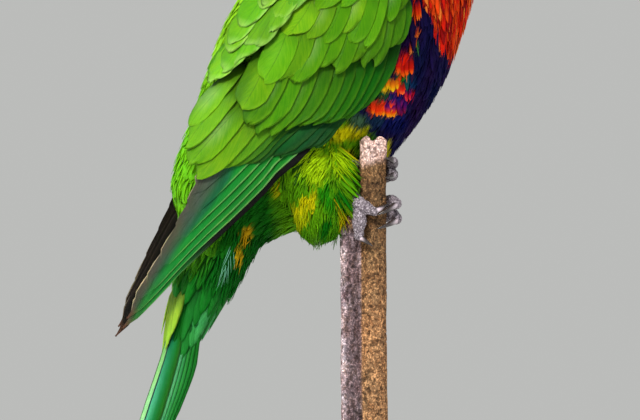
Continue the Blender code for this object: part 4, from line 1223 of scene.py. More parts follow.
def coat(skin):
    """Every small feather of head, neck, body, thighs, tail coverts and wing pads."""
    label, station, share = skin.label, skin.station, skin.share
    centre, facing = skin.points[skin.tris].mean(1), skin.normals[skin.tris].mean(1)
    body, thigh, tail, pad = (label == skin.labels.index(kind)
                              for kind in ("body", "thigh", "tail", "pad"))
    off_eye = np.hypot(centre[:, 0] - EYE.x, centre[:, 2] - EYE.z) > EYE_CLEAR
    head = body & (station >= HEAD_START) & off_eye & (centre[:, 0] < BILL_START)
    front = body & (station < HEAD_START) & (share > 0.36)
    back = body & (station < HEAD_START) & (share <= 0.4)
    left = centre[:, 1] > 0
    tips = np.zeros((len(centre), 3))
    tips[front] = markings(centre[front])[1]
    breast = front & (tips[:, 0] > 0.3) & (tips[:, 1] < 0.2) & (centre[:, 2] > BREAST_FOOT)
    web = plumage("small_web", 60.0, 0.5, 0.2, 0.12)
    hair = down("loose_feathering")
    reds = streaky(markings, (tint(214, 64, 12), tint(232, 122, 44), DEEP_RED), (0.38, 0.08, 0.26), 5)

    def sown(kind, zone, spacing, seed, length, width, lift, after=1, **more):
        """Feathers scattered over a zone; their length and width are numbers or functions."""
        spots, out = skin.scatter(zone, spacing, seed)
        length, width = (size(spots) if callable(size) else size for size in (length, width))
        return grow(skin, kind, spots, out, length, width, lift, seed + after, **more)

    def nearer(low, scale, more=0.0):
        """A size that shrinks towards the bill."""
        return lambda spots: scale * np.interp(stations(spots)[0], [9.5, 15], [1.0, low]) + more

    def to_stem(spots):
        """The feathers ahead of the thigh reach as far as the stem."""
        return np.clip((11.4 - spots[:, 0]) / 0.6, 2.0, 12.5)

    shell_object("coat_head", [
        sown("body", head, 1.35, 11, nearer(0.5, 5.2), nearer(0.5, 2.3), 0.75, web=True,
             marks=hood_marks),
        sown("body", head, 0.64, 13, nearer(0.42, 5.0), nearer(0.42, 0.52, 0.1), 1.0, turn=7.0,
             marks=hood_marks)], hair, "head_feathers")

    for name, where, seed, side in (("coat_front_left", front & left, 21, 1),
                                    ("coat_front_right", front & ~left, 31, -1)):
        parts = []
        for number, (zone, exact, steps, lengths, width, lifts) in enumerate((
                (where & breast, False, (1.6, 1.25), (12.5, 9.0), 2.9, (1.5, 1.6)),
                (where & ~breast, True, (1.9, 0.92), (8.6, 6.0), 3.0, (1.1, 1.2)))):
            same = {"turn": 6.0, "marks": reds, "exact": exact, "after": 2,
                    "flow": body_flow if exact else breast_flow}
            parts += [
                sown("body", zone, steps[0], seed + number, lengths[0], width, lifts[0], web=True,
                     pointed=True, **same),
                sown("body", zone, steps[1], seed + 4 + number, lengths[1], 0.8, lifts[1], **same)]
        parts.append(flank_bars(skin, side))
        shell_object(name, parts, hair, "neck_feathers")

    shell_object("coat_back", [sown("body", back, 2.7, 41, 12.0, 5.2, 1.1, web=True, turn=6.0)],
                 web, "body_feathers")
    shell_object("coat_back_fine", [sown("body", back, 1.35, 43, 8.0, 1.3, 1.3, turn=5.0)],
                 hair, "body_feathers")

    for name, where, seed in (("coat_thigh_left", thigh & left, 51),
                              ("coat_thigh_right", thigh & ~left, 61)):
        low = where & (centre[:, 2] < 138) & (facing[:, 2] > -0.7)
        parts = [sown("thigh", where, 1.7, seed, 6.5, 3.0, 0.8, web=True),
                 sown("thigh", where, 0.7, seed + 2, 6.0, 0.55, 1.3),
                 sown("thigh", low, 0.85, seed + 4, 5.2, 0.6, 1.4, flow=straight_down, hug=0.35)]
        if name == "coat_thigh_right":
            ahead = (where & (centre[:, 0] > -3) & (centre[:, 2] > 144) & (centre[:, 2] < 168)
                     & (facing[:, 1] < -0.1))
            parts += [sown("thigh", ahead, 1.0, seed + 6, to_stem, 1.5, 1.0, web=True, turn=9.0,
                           flow=ahead_flow, pointed=True, hug=0.25),
                      sown("thigh", ahead, 0.75, seed + 8, to_stem, 0.5, 1.4, turn=11.0,
                           flow=ahead_flow, hug=0.25)]
        shell_object(name, parts, hair, "thigh_feathers")

    parts = []
    for number, (distance, count, length, width) in enumerate(TAIL_ROWS):
        turns = (np.arange(count) + 0.5 * (number % 2)) / count * TURN
        spots, out = skin.nearest(round_tail(distance, turns, *tail_girth(distance)))
        parts.append(grow(skin, "tail", spots, out, length, width, 1.0 - 0.08 * number, 72 + number,
                          web=True, turn=2.5, pointed=True))
    turns, distance = np.array([-0.62, -0.3, 0.0, 0.3, 0.62]), 21.0
    depth = tail_girth(distance)[0]
    spots, out = skin.nearest(round_tail(distance, turns, depth, depth))
    parts.append(grow(skin, "tail", spots, out, np.array([19.0, 22.0, 20.0, 22.0, 19.0]), 4.4, 2.0,
                      71, web=True, turn=1.5, pointed=True, hug=0.1, marks=lime_coverts))
    shell_object("coat_tail", parts, web, "tail_feathers")
    draw = np.random.default_rng(76)
    barbs = np.array([-30.5, -9.6, 126.0]) + draw.uniform(-1, 1, (14, 3)) * np.array([1.6, 0.3, 5.0])
    spots, out = skin.nearest(barbs)
    shell_object("coat_tail_fine", [
        sown("tail", tail & (tail_place(centre)[0] < 14), 1.2, 73, 8.0, 0.8, 1.5, turn=6.0),
        grow(skin, "tail", spots, out, 9.0, 0.32, 2.0, 75, marks=pale_barbs)], hair, "tail_feathers")

    s, t = wing_place(centre[:, 0], centre[:, 2])
    inner = t - np.interp(s, [row[0] for row in WING_PAD], [row[1] for row in WING_PAD]) > 3.2
    for name, where, seed in (("coat_wing_left", pad & left, 81), ("coat_wing_right", pad & ~left, 91)):
        shell_object(name, [
            sown("pad", where & (s < 26) & inner, 1.6, seed, 7.0, 3.2, 1.6, web=True, turn=7.0),
            sown("pad", where & (s < 26) & ~inner, 0.9, seed + 4, 4.2, 0.9, 0.8, turn=7.0),
            sown("pad", where & (s >= 26), 3.0, seed + 2, 9.5, 5.0, 0.9, web=True, turn=7.0)],
            web, "wing_feathers")


# Large feathers of the wings

VANE_SHARES = np.array([0.0, 0.1, 0.22, 0.35, 0.48, 0.6, 0.7, 0.79, 0.87, 0.93, 0.975, 1.0])
ROUND_WIDTHS = np.array([0.5, 0.68, 0.82, 0.92, 0.98, 1.0, 0.98, 0.92, 0.79, 0.6, 0.38, 0.08])
VANE_COLUMNS = np.array([-1.0, -0.92, -0.6, -0.25, 0.0, 0.25, 0.6, 0.92, 1.0])

# Control feathers of each tier: root s, t, tip s, t, width, height over the side, how deep
# a green, how teal
GREATER = [
    (16.0, -8.4, 44.5, -11.4, 5.4, 3.6, 1.0, 0.0), (20.0, -2.6, 49.0, -9.0, 5.8, 4.0, 1.0, 0.0),
    (25.0, 0.6, 56.0, -6.0, 6.2, 4.4, 0.9, 0.0), (29.0, 4.6, 59.8, -2.0, 6.4, 4.8, 0.7, 0.0),
    (33.0, 10.0, 64.6, 3.3, 7.0, 5.2, 0.45, 0.0), (39.0, 15.6, 70.4, 8.6, 7.4, 5.6, 0.25, 0.0),
    (43.0, 21.6, 66.0, 15.4, 7.8, 6.0, 0.1, 0.0),
]
SECONDARY = [
    (36.0, -9.4, 61.0, -8.6, 5.4, 2.2, 1.0, 0.8), (40.0, -8.4, 66.0, -6.0, 6.0, 2.5, 0.9, 1.0),
    (44.0, -6.6, 71.8, -1.4, 6.8, 2.8, 0.8, 1.0), (50.0, -1.0, 77.0, 3.6, 7.2, 3.1, 0.6, 0.8),
    (53.0, 2.6, 81.0, 6.6, 7.2, 3.4, 0.45, 0.45), (56.0, 5.6, 84.6, 9.6, 7.4, 3.7, 0.35, 0.1),
    (58.0, 12.0, 92.4, 12.0, 8.2, 4.2, 0.1, 0.0), (58.0, 19.4, 85.6, 17.6, 6.4, 4.4, 0.0, 0.0),
    (54.0, 23.4, 78.6, 21.4, 5.6, 4.4, 0.0, 0.0),
]
MEDIAN = [
    (4.0, 1.0, 20.0, -8.0, 6.0, 4.4, 0.7, 0.0), (6.0, 4.0, 25.0, -6.4, 6.6, 5.0, 0.5, 0.0),
    (10.0, 6.0, 31.0, -4.2, 7.0, 5.8, 0.35, 0.0), (15.0, 9.4, 37.0, 0.6, 7.4, 6.1, 0.2, 0.0),
    (20.0, 13.0, 43.0, 5.4, 7.6, 6.4, 0.1, 0.0), (26.0, 17.4, 49.0, 10.6, 7.8, 6.7, 0.05, 0.0),
    (32.0, 21.6, 55.0, 16.2, 7.8, 6.9, 0.0, 0.0),
]
LESSER = [
    (-6.0, 6.0, 10.0, -1.4, 5.8, 5.2, 0.5, 0.0), (-2.0, 8.6, 17.0, -1.4, 6.4, 5.8, 0.3, 0.0),
    (4.0, 10.0, 24.0, 0.8, 7.0, 6.6, 0.15, 0.0), (9.0, 13.0, 30.0, 5.6, 7.4, 6.9, 0.1, 0.0),
    (15.0, 16.4, 36.0, 11.0, 7.6, 7.1, 0.0, 0.0), (22.0, 20.4, 42.0, 17.6, 7.4, 7.3, 0.0, 0.0),
]
MARGINAL = [
    (-12.0, 11.0, 4.0, 4.6, 5.4, 5.6, 0.3, 0.0), (-8.0, 13.4, 12.0, 7.4, 6.4, 6.4, 0.15, 0.0),
    (-2.0, 15.0, 19.0, 10.6, 6.8, 7.2, 0.05, 0.0), (4.0, 18.0, 26.0, 15.4, 7.0, 7.4, 0.0, 0.0),
]
MANTLE = [
    (2.0, 28.0, 24.0, 28.6, 6.6, 8.0, 0.0, 0.0), (12.0, 29.6, 34.0, 28.6, 6.8, 8.0, 0.0, 0.0),
    (22.0, 31.0, 44.0, 29.4, 6.6, 7.6, 0.0, 0.0), (34.0, 31.6, 54.0, 28.6, 6.0, 6.6, 0.0, 0.0),
]
SCAPULAR = [
    (-2.0, 20.0, 18.0, 22.6, 6.8, 7.4, 0.1, 0.0), (6.0, 23.0, 28.0, 24.4, 7.2, 7.7, 0.0, 0.0),
    (14.0, 25.0, 37.0, 23.2, 7.4, 7.8, 0.0, 0.0), (22.0, 26.0, 45.0, 22.8, 7.4, 7.7, 0.0, 0.0),
    (29.0, 27.0, 52.0, 23.6, 7.2, 7.4, 0.0, 0.0), (36.0, 28.0, 58.4, 24.6, 6.8, 6.8, 0.0, 0.0),
    (43.0, 28.6, 64.0, 25.6, 5.8, 6.0, 0.0, 0.0),
]
# Tier, number of feathers, tilt, bow, how far their ends stray, how light their edges, how
# dark the painted shade on their covered sides, height of the root as a share of the feather's, rise to
# the tip
TIERS = [
    (SECONDARY, 12, 0.17, 0.3, 0.5, 0.3, 0.35, 0.55, 0.0),
    (GREATER, 11, 0.18, -1.3, 0.8, 0.3, 0.6, 0.55, 0.0),
    (MEDIAN, 10, 0.10, -0.8, 1.5, 0.22, 0.25, 0.55, 0.0),
    (LESSER, 9, 0.08, -0.6, 1.8, 0.2, 0.2, 0.55, 0.0),
    (MARGINAL, 6, 0.08, -0.4, 1.6, 0.2, 0.15, -0.25, 0.3),
    (SCAPULAR, 12, 0.09, 0.6, 1.4, 0.45, 0.3, -0.25, 0.9),
    (MANTLE, 7, 0.08, 0.4, 1.6, 0.5, 0.2, -0.25, 2.2),
]


def vane_depth(thick, columns, shares, count):
    """Thickness of flight feathers, which thin out to their edges and to the tip."""
    flat = np.sqrt(np.maximum(1 - columns ** 2, 0))
    return thick * flat[None, None] * (1 - 0.5 * shares)[None, :, None] * np.ones((count, 1, 1))


def spread_rows(rows, count, draw, stray):
    """The feathers of a tier between its control feathers, no two alike."""
    table = np.array(rows)
    place = np.linspace(0, len(rows) - 1, count)
    full = np.stack([np.interp(place, np.arange(len(rows)), column) for column in table.T], 1)
    full[:, 2] += draw.normal(0, 1.0, count) * stray
    full[:, 3] += draw.normal(0, 0.35, count) * stray
    full[:, 4] *= draw.uniform(0.88, 1.12, count)
    full[:, 6] += draw.normal(0, 0.05, count)
    return full


def wing_vanes(rows, far, tilt, draw, bow, sunk, rise):
    """Grids of the feathers of one tier, over the side of the body."""
    mids, outs, spots = [], [], []
    for row in rows:
        root, tip, width, level = row[:2], row[2:4], row[4], row[5]
        length = np.linalg.norm(tip - root)
        ahead = (tip - root) / length
        across = np.array([-ahead[1], ahead[0]])
        f = VANE_SHARES[:, None]
        bend = bow * np.sin(math.pi * f) + draw.normal(0, 0.15) * f ** 2
        half = 0.5 * width * ROUND_WIDTHS[:, None]
        if sunk < 0:
            half = half * ramp(f, -0.04, 0.32)
        x = VANE_COLUMNS[None]
        reach = x * half * (1 + draw.uniform(-0.04, 0.04, (len(f), len(VANE_COLUMNS))))
        ragged = draw.uniform(-0.02, 0.02, x.shape) + draw.normal(0, 0.03) * x
        along = length * (f + ragged * ramp(f, 0.55, 0.95))
        s = root[0] + ahead[0] * along + across[0] * (reach + bend)
        t = root[1] + ahead[1] * along + across[1] * (reach + bend)
        free = np.minimum(f / 0.35, 1)
        curl = draw.normal(0, 0.15) * x * ramp(f, 0.5, 1.0)
        height = level * (sunk + (1 - sunk) * free) - tilt * reach * free + curl + rise * f
        height = height - 0.05 * np.abs(reach) ** 1.5 - 0.3 * ramp(f, 0.8, 1.0)
        mid, out = SIDE.lay(s, t, height, far)
        mids.append(mid)
        outs.append(out)
        spots.append(((root[0] + 15) / 110, (root[1] + 16) / 55))
    return np.array(mids), np.array(outs), np.array(spots)


def covert_paint(rows, draw, light, fringe, covered):
    """Colour over each grid: root to tip and lower edge to upper edge."""
    f = VANE_SHARES[None, :, None, None]
    x = VANE_COLUMNS[None, None, :, None]
    dark = np.clip(rows[:, 6], 0, 1)[:, None, None, None]
    teal = rows[:, 7][:, None, None, None]
    pale = np.clip(draw.normal(0.25, 0.25, (len(rows), 1, 1, 1)), 0, 0.8) * (1 - dark)
    base = over(LEAF, LEAF_LIGHT, pale) * draw.normal(1, 0.07, (len(rows), 1, 1, 3))
    base = over(base, LEAF_DEEP, dark)
    base = over(base, TEAL, teal)
    paint = base * np.ones((len(rows), len(VANE_SHARES), len(VANE_COLUMNS), 1))
    # Pale grey-green patches on some feathers: their pale bases showing, with painted sheen.
    pale_base_sheen = ramp(np.sin(2.4 * np.arange(len(rows)) + len(rows)), 0.0, 0.9)[:, None, None, None]
    pale_base_sheen = pale_base_sheen * (1 - dark) * ramp(f, 0.3, 0.55) * (1 - ramp(f, 0.55, 0.85))
    pale_base_sheen = pale_base_sheen * ramp(x, -0.7, 0.2) * (0.45 if fringe < 0.4 else 0.0)
    paint = over(paint, tint(150, 172, 120), pale_base_sheen)
    edge = np.maximum(ramp(-x, 0.72, 0.98), ramp(f, 0.86, 0.99)) * fringe * (1 - 0.6 * dark)
    paint = over(paint, light * (1 - 0.6 * teal), edge)
    low = (1 - ramp(x, -0.7, 0.1)) * teal * 0.4
    paint = over(paint, BLACKISH, low)
    # Painted shade on the side that the next feather covers.
    shade = ramp(x, 0.0, 0.8) * covered
    paint = over(paint, LEAF_DEEP * 0.5, shade)
    # Painted shade: darker towards the covered root.
    return paint * (0.4 + 0.6 * ramp(f, 0.1, 0.55))


PRIMARY_START = 54.0
WING_THICK = 0.32
TAIL_THICK = 0.34
UPPER_EDGE = ((54, 80, 92, 108.6, 121.4, 136.7, 143), (15, 14.2, 12.4, 8.6, 6.0, 3.6, 0.8))


def primary_vanes(far, draw):
    """The long flight feathers, each between its lower edge and the upper edge of the wing."""
    lows = [-9.0, -7.1, -4.9, -2.6, -0.3, 2.1, 4.6]
    tips = [(142.0, 0.3), (139.0, 1.2), (131.5, 1.9), (122.0, 3.2), (112.0, 4.6), (103.0, 6.4),
            (95.0, 9.4)]
    shares = np.array([0, 0.08, 0.16, 0.24, 0.32, 0.4, 0.48, 0.56, 0.64, 0.72, 0.79, 0.85, 0.9, 0.94,
                       0.97, 0.99, 1.0])
    columns = np.array([-1.0, -0.95, -0.9, -0.75, -0.65, -0.55, -0.22, -0.1, 0.1, 0.5, 0.88, 0.95, 1.0])
    mids, outs, spots, along, beside, topmost, edges = [], [], [], [], [], [], []
    for i, (low, (end, tip)) in enumerate(zip(lows, tips)):
        start = PRIMARY_START
        s = start + (end - start) * shares
        bottom = low + (tip - 1.0 - low) * shares + 1.0 * ramp(shares, 0.93, 1.0)
        upper = np.interp(s, *UPPER_EDGE)
        wide = 11.0 * (1 - 0.55 * ramp(shares, 0.35, 1.0)) * (1 - ramp(shares, 0.88, 1.0) * 0.9)
        top = np.minimum(bottom + wide, upper)
        top = np.maximum(top, bottom + 0.25)
        middle, half = (top + bottom) / 2, (top - bottom) / 2
        t = middle[:, None] + half[:, None] * columns[None]
        t = t + draw.normal(0, 0.03, t.shape)
        tilt = 0.09
        height = 1.5 + 0.2 * i - tilt * (t - middle[:, None]) * ramp(shares, 0, 0.2)[:, None]
        height = height - 0.3 * ramp(shares, 0.8, 1.0)[:, None]
        mid, out = SIDE.lay(np.broadcast_to(s[:, None], t.shape), t, height, far)
        along.append(np.broadcast_to(s[:, None], t.shape))
        beside.append(t)
        edges.append((s, bottom))
        topmost.append((top > upper - 0.9) * 1.0)
        mids.append(mid)
        outs.append(out)
        spots.append(((start + 15) / 110, (low + 16) / 55))
    n = len(lows)
    f = shares[None, :, None, None]
    x = columns[None, None, :, None]
    order = np.arange(n)[:, None, None, None] / (n - 1)
    ones = np.ones((n, len(shares), len(columns), 1))
    s, t = np.array(along)[..., None], np.array(beside)[..., None]
    dusk = np.interp(s, [70, 85, 95, 110, 120, 132, 142], [9, 5, 3.6, 3.2, 2.4, 1.2, 0.2])
    dusk = ramp(t - dusk, -0.8, 1.0)
    deep = np.interp(s, [70, 90, 100, 108, 120, 142], [11, 7.6, 6.0, 5.2, 3.8, 0.2])
    deep = ramp(t - deep, -2.0, 1.0)
    brown = ramp(t - np.interp(s, *UPPER_EDGE) + 4.2, 0.0, 3.6) * dusk
    outer = (PRIMARY * (0.85 + 0.3 * order) + tint(0, 60, 40) * 0.5 * ramp(f, 0.2, 0.9)) * ones
    outer = outer * (1 - 0.4 * ramp(f, 0.8, 1.0)) + DUSK * 0.4 * ramp(f, 0.8, 1.0)
    webs = over(tint(24, 90, 58), DUSK, deep)
    webs = webs * (1 - 0.85 * brown) + tint(74, 64, 58) * 0.85 * brown
    inner = np.maximum(ramp(x, -0.14, 0.1) * 0.8, dusk)
    paint = over(outer, webs, inner)
    paint = paint * (1 - 0.5 * (1 - ramp(np.abs(x + 0.1), 0.0, 0.18)) * (1 - dusk))
    for i in range(n - 1):
        gap = np.interp(s[i], *edges[i + 1]) - t[i]
        shadow = (1 - ramp(gap, 0.1, 0.75)) * ramp(gap, -0.8, -0.2) * (1 - 0.7 * dusk[i]) * 0.7
        paint[i] = over(paint[i], tint(0, 60, 10), shadow)
    fringe = (1 - ramp(x, -0.97, -0.89)) * (1 - 0.6 * ramp(f, 0.8, 1.0)) * (1 - dusk) * 0.75
    paint = over(paint, FRINGE, fringe)
    top = ramp(x, 0.9, 0.99) * np.array(topmost)[:, :, None, None] * 0.9
    paint = over(paint, tint(206, 182, 150), top)
    band = np.zeros_like(order)
    band[0] = 1
    band = band * (1 - ramp(x, -0.5, -0.3)) * (1 - ramp(f, 0.55, 0.85))
    paint = over(paint, BLACKISH, band)
    tips = ramp(f, 0.93, 1.0) * (order < 0.2)
    paint = over(paint, tint(96, 62, 54), tips)
    under = BLACKISH * 0.8 * ones
    if far:
        rim = ramp(np.abs(x), 0.45, 0.85)
        paint = over(paint, BLACKISH * 1.2, rim)
        # The far wing's underside is brown at its upper edge: its own brown with painted sheen.
        edge_sheen = ramp(x, 0.75, 1.0) * 0.4
        under = over(under, tint(84, 66, 62), edge_sheen)
        under = over(under, tint(196, 176, 152), top)
        under = over(under, tint(104, 66, 56), tips)
    return np.array(mids), np.array(outs), np.array(spots), paint, under, columns, shares


def wings():
    flight = plumage("flight_web", 150.0, 0.4, 0.3, 0.5, rough=0.42)
    cover = plumage("covert_web", 62.0, 0.7, 0.55, 0.35, rough=0.46)
    for name, far in (("right", False), ("left", True)):
        draw = np.random.default_rng(SEED)
        mirror = np.array([1, 1, 1]) if far else np.array([1, -1, 1])

        def solid(mid, out, spots, paint, columns, shares, under=None):
            depth = vane_depth(WING_THICK, columns, shares, len(mid))
            return shell_data(mid * mirror, out * mirror, depth, paint, spots, columns, shares,
                              flip=not far, under=under)

        mid, out, spots, paint, under, columns, shares = primary_vanes(far, draw)
        shell_object("primaries_" + name, [solid(mid, out, spots, paint, columns, shares, under)],
                     flight, "wing_feathers")
        parts = []
        for control, count, tilt, bow, stray, fringe, covered, sunk, rise in TIERS:
            rows = spread_rows(control, count, draw, stray)
            mid, out, spots = wing_vanes(rows, far, tilt, draw, bow, sunk, rise)
            # Scapulars and mantle get paler edges: their own pale fringes with a painted highlight.
            pale = control is SCAPULAR or control is MANTLE
            light = tint(168, 208, 104) if pale else LEAF_LIGHT * 1.1
            paint = covert_paint(rows, draw, light, fringe, covered)
            parts.append(solid(mid, out, spots, paint, VANE_COLUMNS, VANE_SHARES))
        shell_object("coverts_" + name, parts, cover, "wing_feathers")


# Tail feathers

OUTER_BANDS = [(86, 178, 124), (62, 160, 92), (48, 148, 66), (32, 132, 50), (22, 112, 36)]


def tail_feathers():
    web = plumage("tail_web", 200.0, 0.3, 0.25, 0.0, rough=0.45)
    shares = np.array([0, 0.06, 0.12, 0.18, 0.25, 0.32, 0.4, 0.48, 0.56, 0.64, 0.72, 0.79, 0.85, 0.9,
                       0.94, 0.97, 1.0])
    columns = np.array([-1.0, -0.88, -0.58, -0.5, -0.43, -0.36, -0.1, 0.25, 0.65, 1.0])
    widths = np.interp(shares, [0, 0.35, 0.7, 0.92, 1.0], [0.6, 0.95, 1.0, 0.6, 0.1])
    start, ridge, fall = TAIL_RIDGE
    root, axis, up = TAIL_FRAME
    parts = []
    for side in (1, -1):
        draw = np.random.default_rng(SEED + side)
        mids, outs, spots, paints = [], [], [], []
        for order, length in enumerate(TAIL_LENGTHS):
            inner = 0.2 + TAIL_FEATHER_STEP * order
            down_tail = (TAIL_FEATHER_ROOT + (length - TAIL_FEATHER_ROOT) * shares)[:, None]
            far_down = ramp(down_tail, 40, 75)
            wide = TAIL_FEATHER_WIDTH * widths[:, None] * (1 - 0.12 * far_down)
            reach = inner + wide * (columns[None] + 1) / 2
            height = ridge - (down_tail - start) * fall - TAIL_ROOF * reach
            height = height - 0.72 * order * (1 - 0.25 * far_down)
            height = height - 0.012 * (reach - inner - 4) ** 2 + 1.2 * ramp(down_tail, 40, 70)
            height = height + draw.normal(0, 0.02, reach.shape)
            mid = (root + axis * down_tail[..., None] + up * height[..., None]
                   + np.array([0, side, 0]) * reach[..., None])
            mids.append(mid)
            outs.append(np.broadcast_to(unit(up + np.array([0, side * TAIL_ROOF, 0])), mid.shape))
            spots.append((0.1 + 0.12 * order, 0.5 + side * 0.25))
            f = shares[:, None, None]
            x = columns[None, :, None]
            low = ramp(down_tail, 36, 62)[..., None]
            inner_web = over(tint(116, 172, 92), tint(138, 196, 138), low)
            near = 1 - ramp(x, -0.4, 0.25)
            light = over(TAIL_TEAL, tint(74, 166, 128), low)
            away = ramp(x, -0.1, 0.7)
            outer_web = over((light * near + TAIL_TEAL * (1 - near)), TAIL_GREEN, away)
            if order:
                outer_web = tint(*OUTER_BANDS[order - 1]) * (0.8 + 0.25 * low) * np.ones_like(x)
                inner_web = outer_web
            split = ramp(x, -0.5, -0.42)
            paint = over(inner_web, outer_web, split)
            rachis = (1 - ramp(np.abs(x + 0.465), 0.03, 0.09)) * (1.0 if order == 0 else 0.0)
            paint = over(paint, tint(12, 20, 52), rachis)
            # The central feather's outer web darkens towards its edge: its own deep green with painted
            # shadow along the step to the next feather.
            if order == 0:
                groove = ramp(x, 0.2, 0.75) * 0.8
                paint = over(paint, tint(2, 82, 10), groove)
            tipped = ramp(f, 0.8, 1.0) * 0.4
            paint = over(paint, tint(120, 150, 30), tipped)
            edge = ramp(x, 0.88, 1.0) * (0.12 if order < 2 else 0.0)
            paint = over(paint, FRINGE, edge)
            paints.append(np.broadcast_to(paint, mid.shape))
        mid, paint = np.array(mids), np.array(paints)
        depth = vane_depth(TAIL_THICK, columns, shares, len(mid))
        parts.append(shell_data(mid, np.array(outs), depth, paint, np.array(spots), columns, shares,
                                flip=side > 0, under=paint * 0.35 + tint(120, 130, 40) * 0.3))
    return shell_object("tail_feathers", parts, web, "tail_feathers")


# Eyes, lids, cere and bill

def make_eyes():
    gloss = eye_material()
    lid_skin = scaly("lid_skin", 3200.0, 0.5, 0.06)
    for name, side in (("left", 1), ("right", -1)):
        centre = np.array([EYE.x, EYE.y * side, EYE.z])
        points, paint = [], []
        rows, sides = 40, 56
        for k in range(rows + 1):
            angle = math.pi * k / rows
            bulge = 0.12 * (1 - ramp(angle, 0.35, 0.75))
            for i in range(sides):
                turn = TURN * i / sides
                r = EYE_RADIUS - 0.1 + bulge
                points.append(centre + r * np.array([math.sin(angle) * math.cos(turn),
                                                     side * math.cos(angle),
                                                     math.sin(angle) * math.sin(turn)]))
                away = math.sin(angle) * EYE_RADIUS
                front = angle < math.pi / 2
                iris = mix(tint(214, 62, 10), tint(160, 22, 8), ramp(away, 2.0, 2.9))
                iris = mix(iris, tint(40, 8, 8), ramp(away, 2.8, 3.2))
                shade = mix(tint(2, 2, 2), iris, ramp(away, 1.7, 1.9)) if front else tint(60, 20, 16)
                paint.append(shade)
        faces = grid_faces(rows + 1, sides)
        eye = mesh_object("eyeball_" + name, points, faces, gloss, np.array(paint))
        turn_outwards(eye.data, weld=0.000002)
        eye.data.shade_smooth()
        keep(eye, "eye", "eye_" + name)

        points, paint = [], []
        major, minor = 96, 14
        for i in range(major):
            turn = TURN * i / major
            crease = 0.06 * math.sin(turn * 23) + 0.05 * math.sin(turn * 37 + 1)
            radius = 0.56 + 0.1 * math.cos(2 * turn) + crease
            ring_x = 3.55 + 0.2 * math.cos(2 * turn)
            for k in range(minor):
                roll = TURN * k / minor
                away = ring_x + radius * math.cos(roll)
                out = EYE_RADIUS - 1.35 + radius * 0.8 * math.sin(roll)
                points.append(centre + np.array([away * math.cos(turn), side * out,
                                                 away * math.sin(turn)]))
                # The lid ring is painted lighter on its outward crest and darker where it turns in towards
                # the eye and the head: painted light and shade.
                paint.append(tint(36, 32, 42) * (0.8 + 0.5 * (math.sin(roll) + 1) / 2))
        faces = grid_faces(major, minor, closed=True)
        keep(mesh_object("lid_" + name, points, faces, lid_skin, np.array(paint)), "cere_skin")


def make_bill():
    red = horn("bill_horn", 0.3, 0.4)
    grey = scaly("cere_skin", 2600.0, 0.45, 0.06)
    rings = [ring_between(Vector((tx, 0, tz)), Vector((bx, 0, bz)), half, 64, 0.85)
             for tx, tz, bx, bz, half in smooth_rows(CERE, 6)]
    points, faces = loft_data(rings)
    places = np.array(points)
    middle = np.array([49.6, 0, 254.0])
    for side in (1, -1):
        hole = np.array([NOSTRIL.x, NOSTRIL.y * side, NOSTRIL.z])
        away = np.linalg.norm(places - hole, axis=1)
        rim = np.exp(-((away - 1.25) / 0.4) ** 2) * 0.22
        pit = (1 - ramp(away, 0.3, 1.0)) * 1.1
        places = places + unit(places - middle) * (rim - pit)[:, None]
    away = np.minimum(np.linalg.norm(places - np.array(NOSTRIL), axis=1),
                      np.linalg.norm(places - np.array([NOSTRIL.x, -NOSTRIL.y, NOSTRIL.z]), axis=1))
    # Painted shade: the nostrils are near black in their shallow pits, for the shade of the openings.
    paint = mix(tint(8, 6, 8), tint(54, 48, 58), ramp(away, 0.4, 1.3))
    keep(mesh_object("cere_soft", places, faces, grey, paint), "cere_skin", "cere")
    for name, rows, node in (("bill_top", BILL_UPPER, "bill_upper"),
                             ("bill_bottom", BILL_LOWER, "bill_lower")):
        rings = [ring_between(Vector((tx, 0, tz)), Vector((bx, 0, bz)), half, 48, 0.8)
                 for tx, tz, bx, bz, half in smooth_rows(rows, 8)]
        points, faces = loft_data(rings)
        places = np.array(points)
        ridge = np.repeat(np.linspace(0, 1, len(rings)), 48)
        lines = np.array([noise.noise(Vector((p[0] * 0.5, p[1] * 2.2, p[2] * 0.5))) for p in places])
        places = places + SIDEWAYS * (np.sign(places[:, 1]) * lines * 0.06)[:, None]
        shade = mix(tint(232, 66, 20), tint(244, 122, 26), ramp(ridge, 0.35, 0.8))
        shade = mix(shade, tint(246, 178, 60), ramp(ridge, 0.8, 1.0))
        shade = mix(tint(190, 40, 18), shade, ramp(ridge, 0.0, 0.14))
        keep(mesh_object(name, places, faces, red, shade), "bill_horn", node)


# Feet

def round_stem(angle, radius, height):
    turn = math.radians(angle + CAMERA_SIDE)
    return STEM + Vector((radius * math.cos(turn), radius * math.sin(turn), height))


def toe_line(start, end, low, high, count, clearance):
    return [round_stem(start + (end - start) * k / (count - 1), STEM_RADIUS + clearance,
                       low + (high - low) * k / (count - 1)) for k in range(count)]


def right_foot_lines():
    hub = round_stem(-88.0, STEM_RADIUS + 3.0, 142.2)
    down_toe = [hub + Vector((0.4, -1.6, -1.5)), Vector((8.4, -22.4, 137.2)),
                Vector((8.2, -23.0, 133.6)), Vector((8.2, -23.0, 130.6))]
    toes = [toe_line(-80.0, 2.0, 142.6, 138.4, 5, 2.6), toe_line(-100.0, -285.0, 142.4, 140.8, 7, 3.4),
            toe_line(-104.0, -282.0, 140.4, 135.8, 7, 3.5), down_toe]
    return hub, toes, [Vector((-1.0, -17.2, 147.0)), Vector((3.5, -17.6, 144.6)), hub]


def left_foot_lines():
    hub = round_stem(-170.0, STEM_RADIUS + 3.0, 151.0)
    toes = [toe_line(-180.0, -272.0, 152.2, 154.4, 5, 2.4), toe_line(-180.0, -270.0, 150.0, 150.2, 5, 2.4),
            toe_line(-158.0, -112.0, 152.4, 153.4, 4, 2.4), toe_line(-160.0, -118.0, 149.8, 149.0, 4, 2.4)]
    return hub, toes, [Vector((12.0, -1.0, 153.0)), Vector((14.0, -6.0, 152.0)), hub]


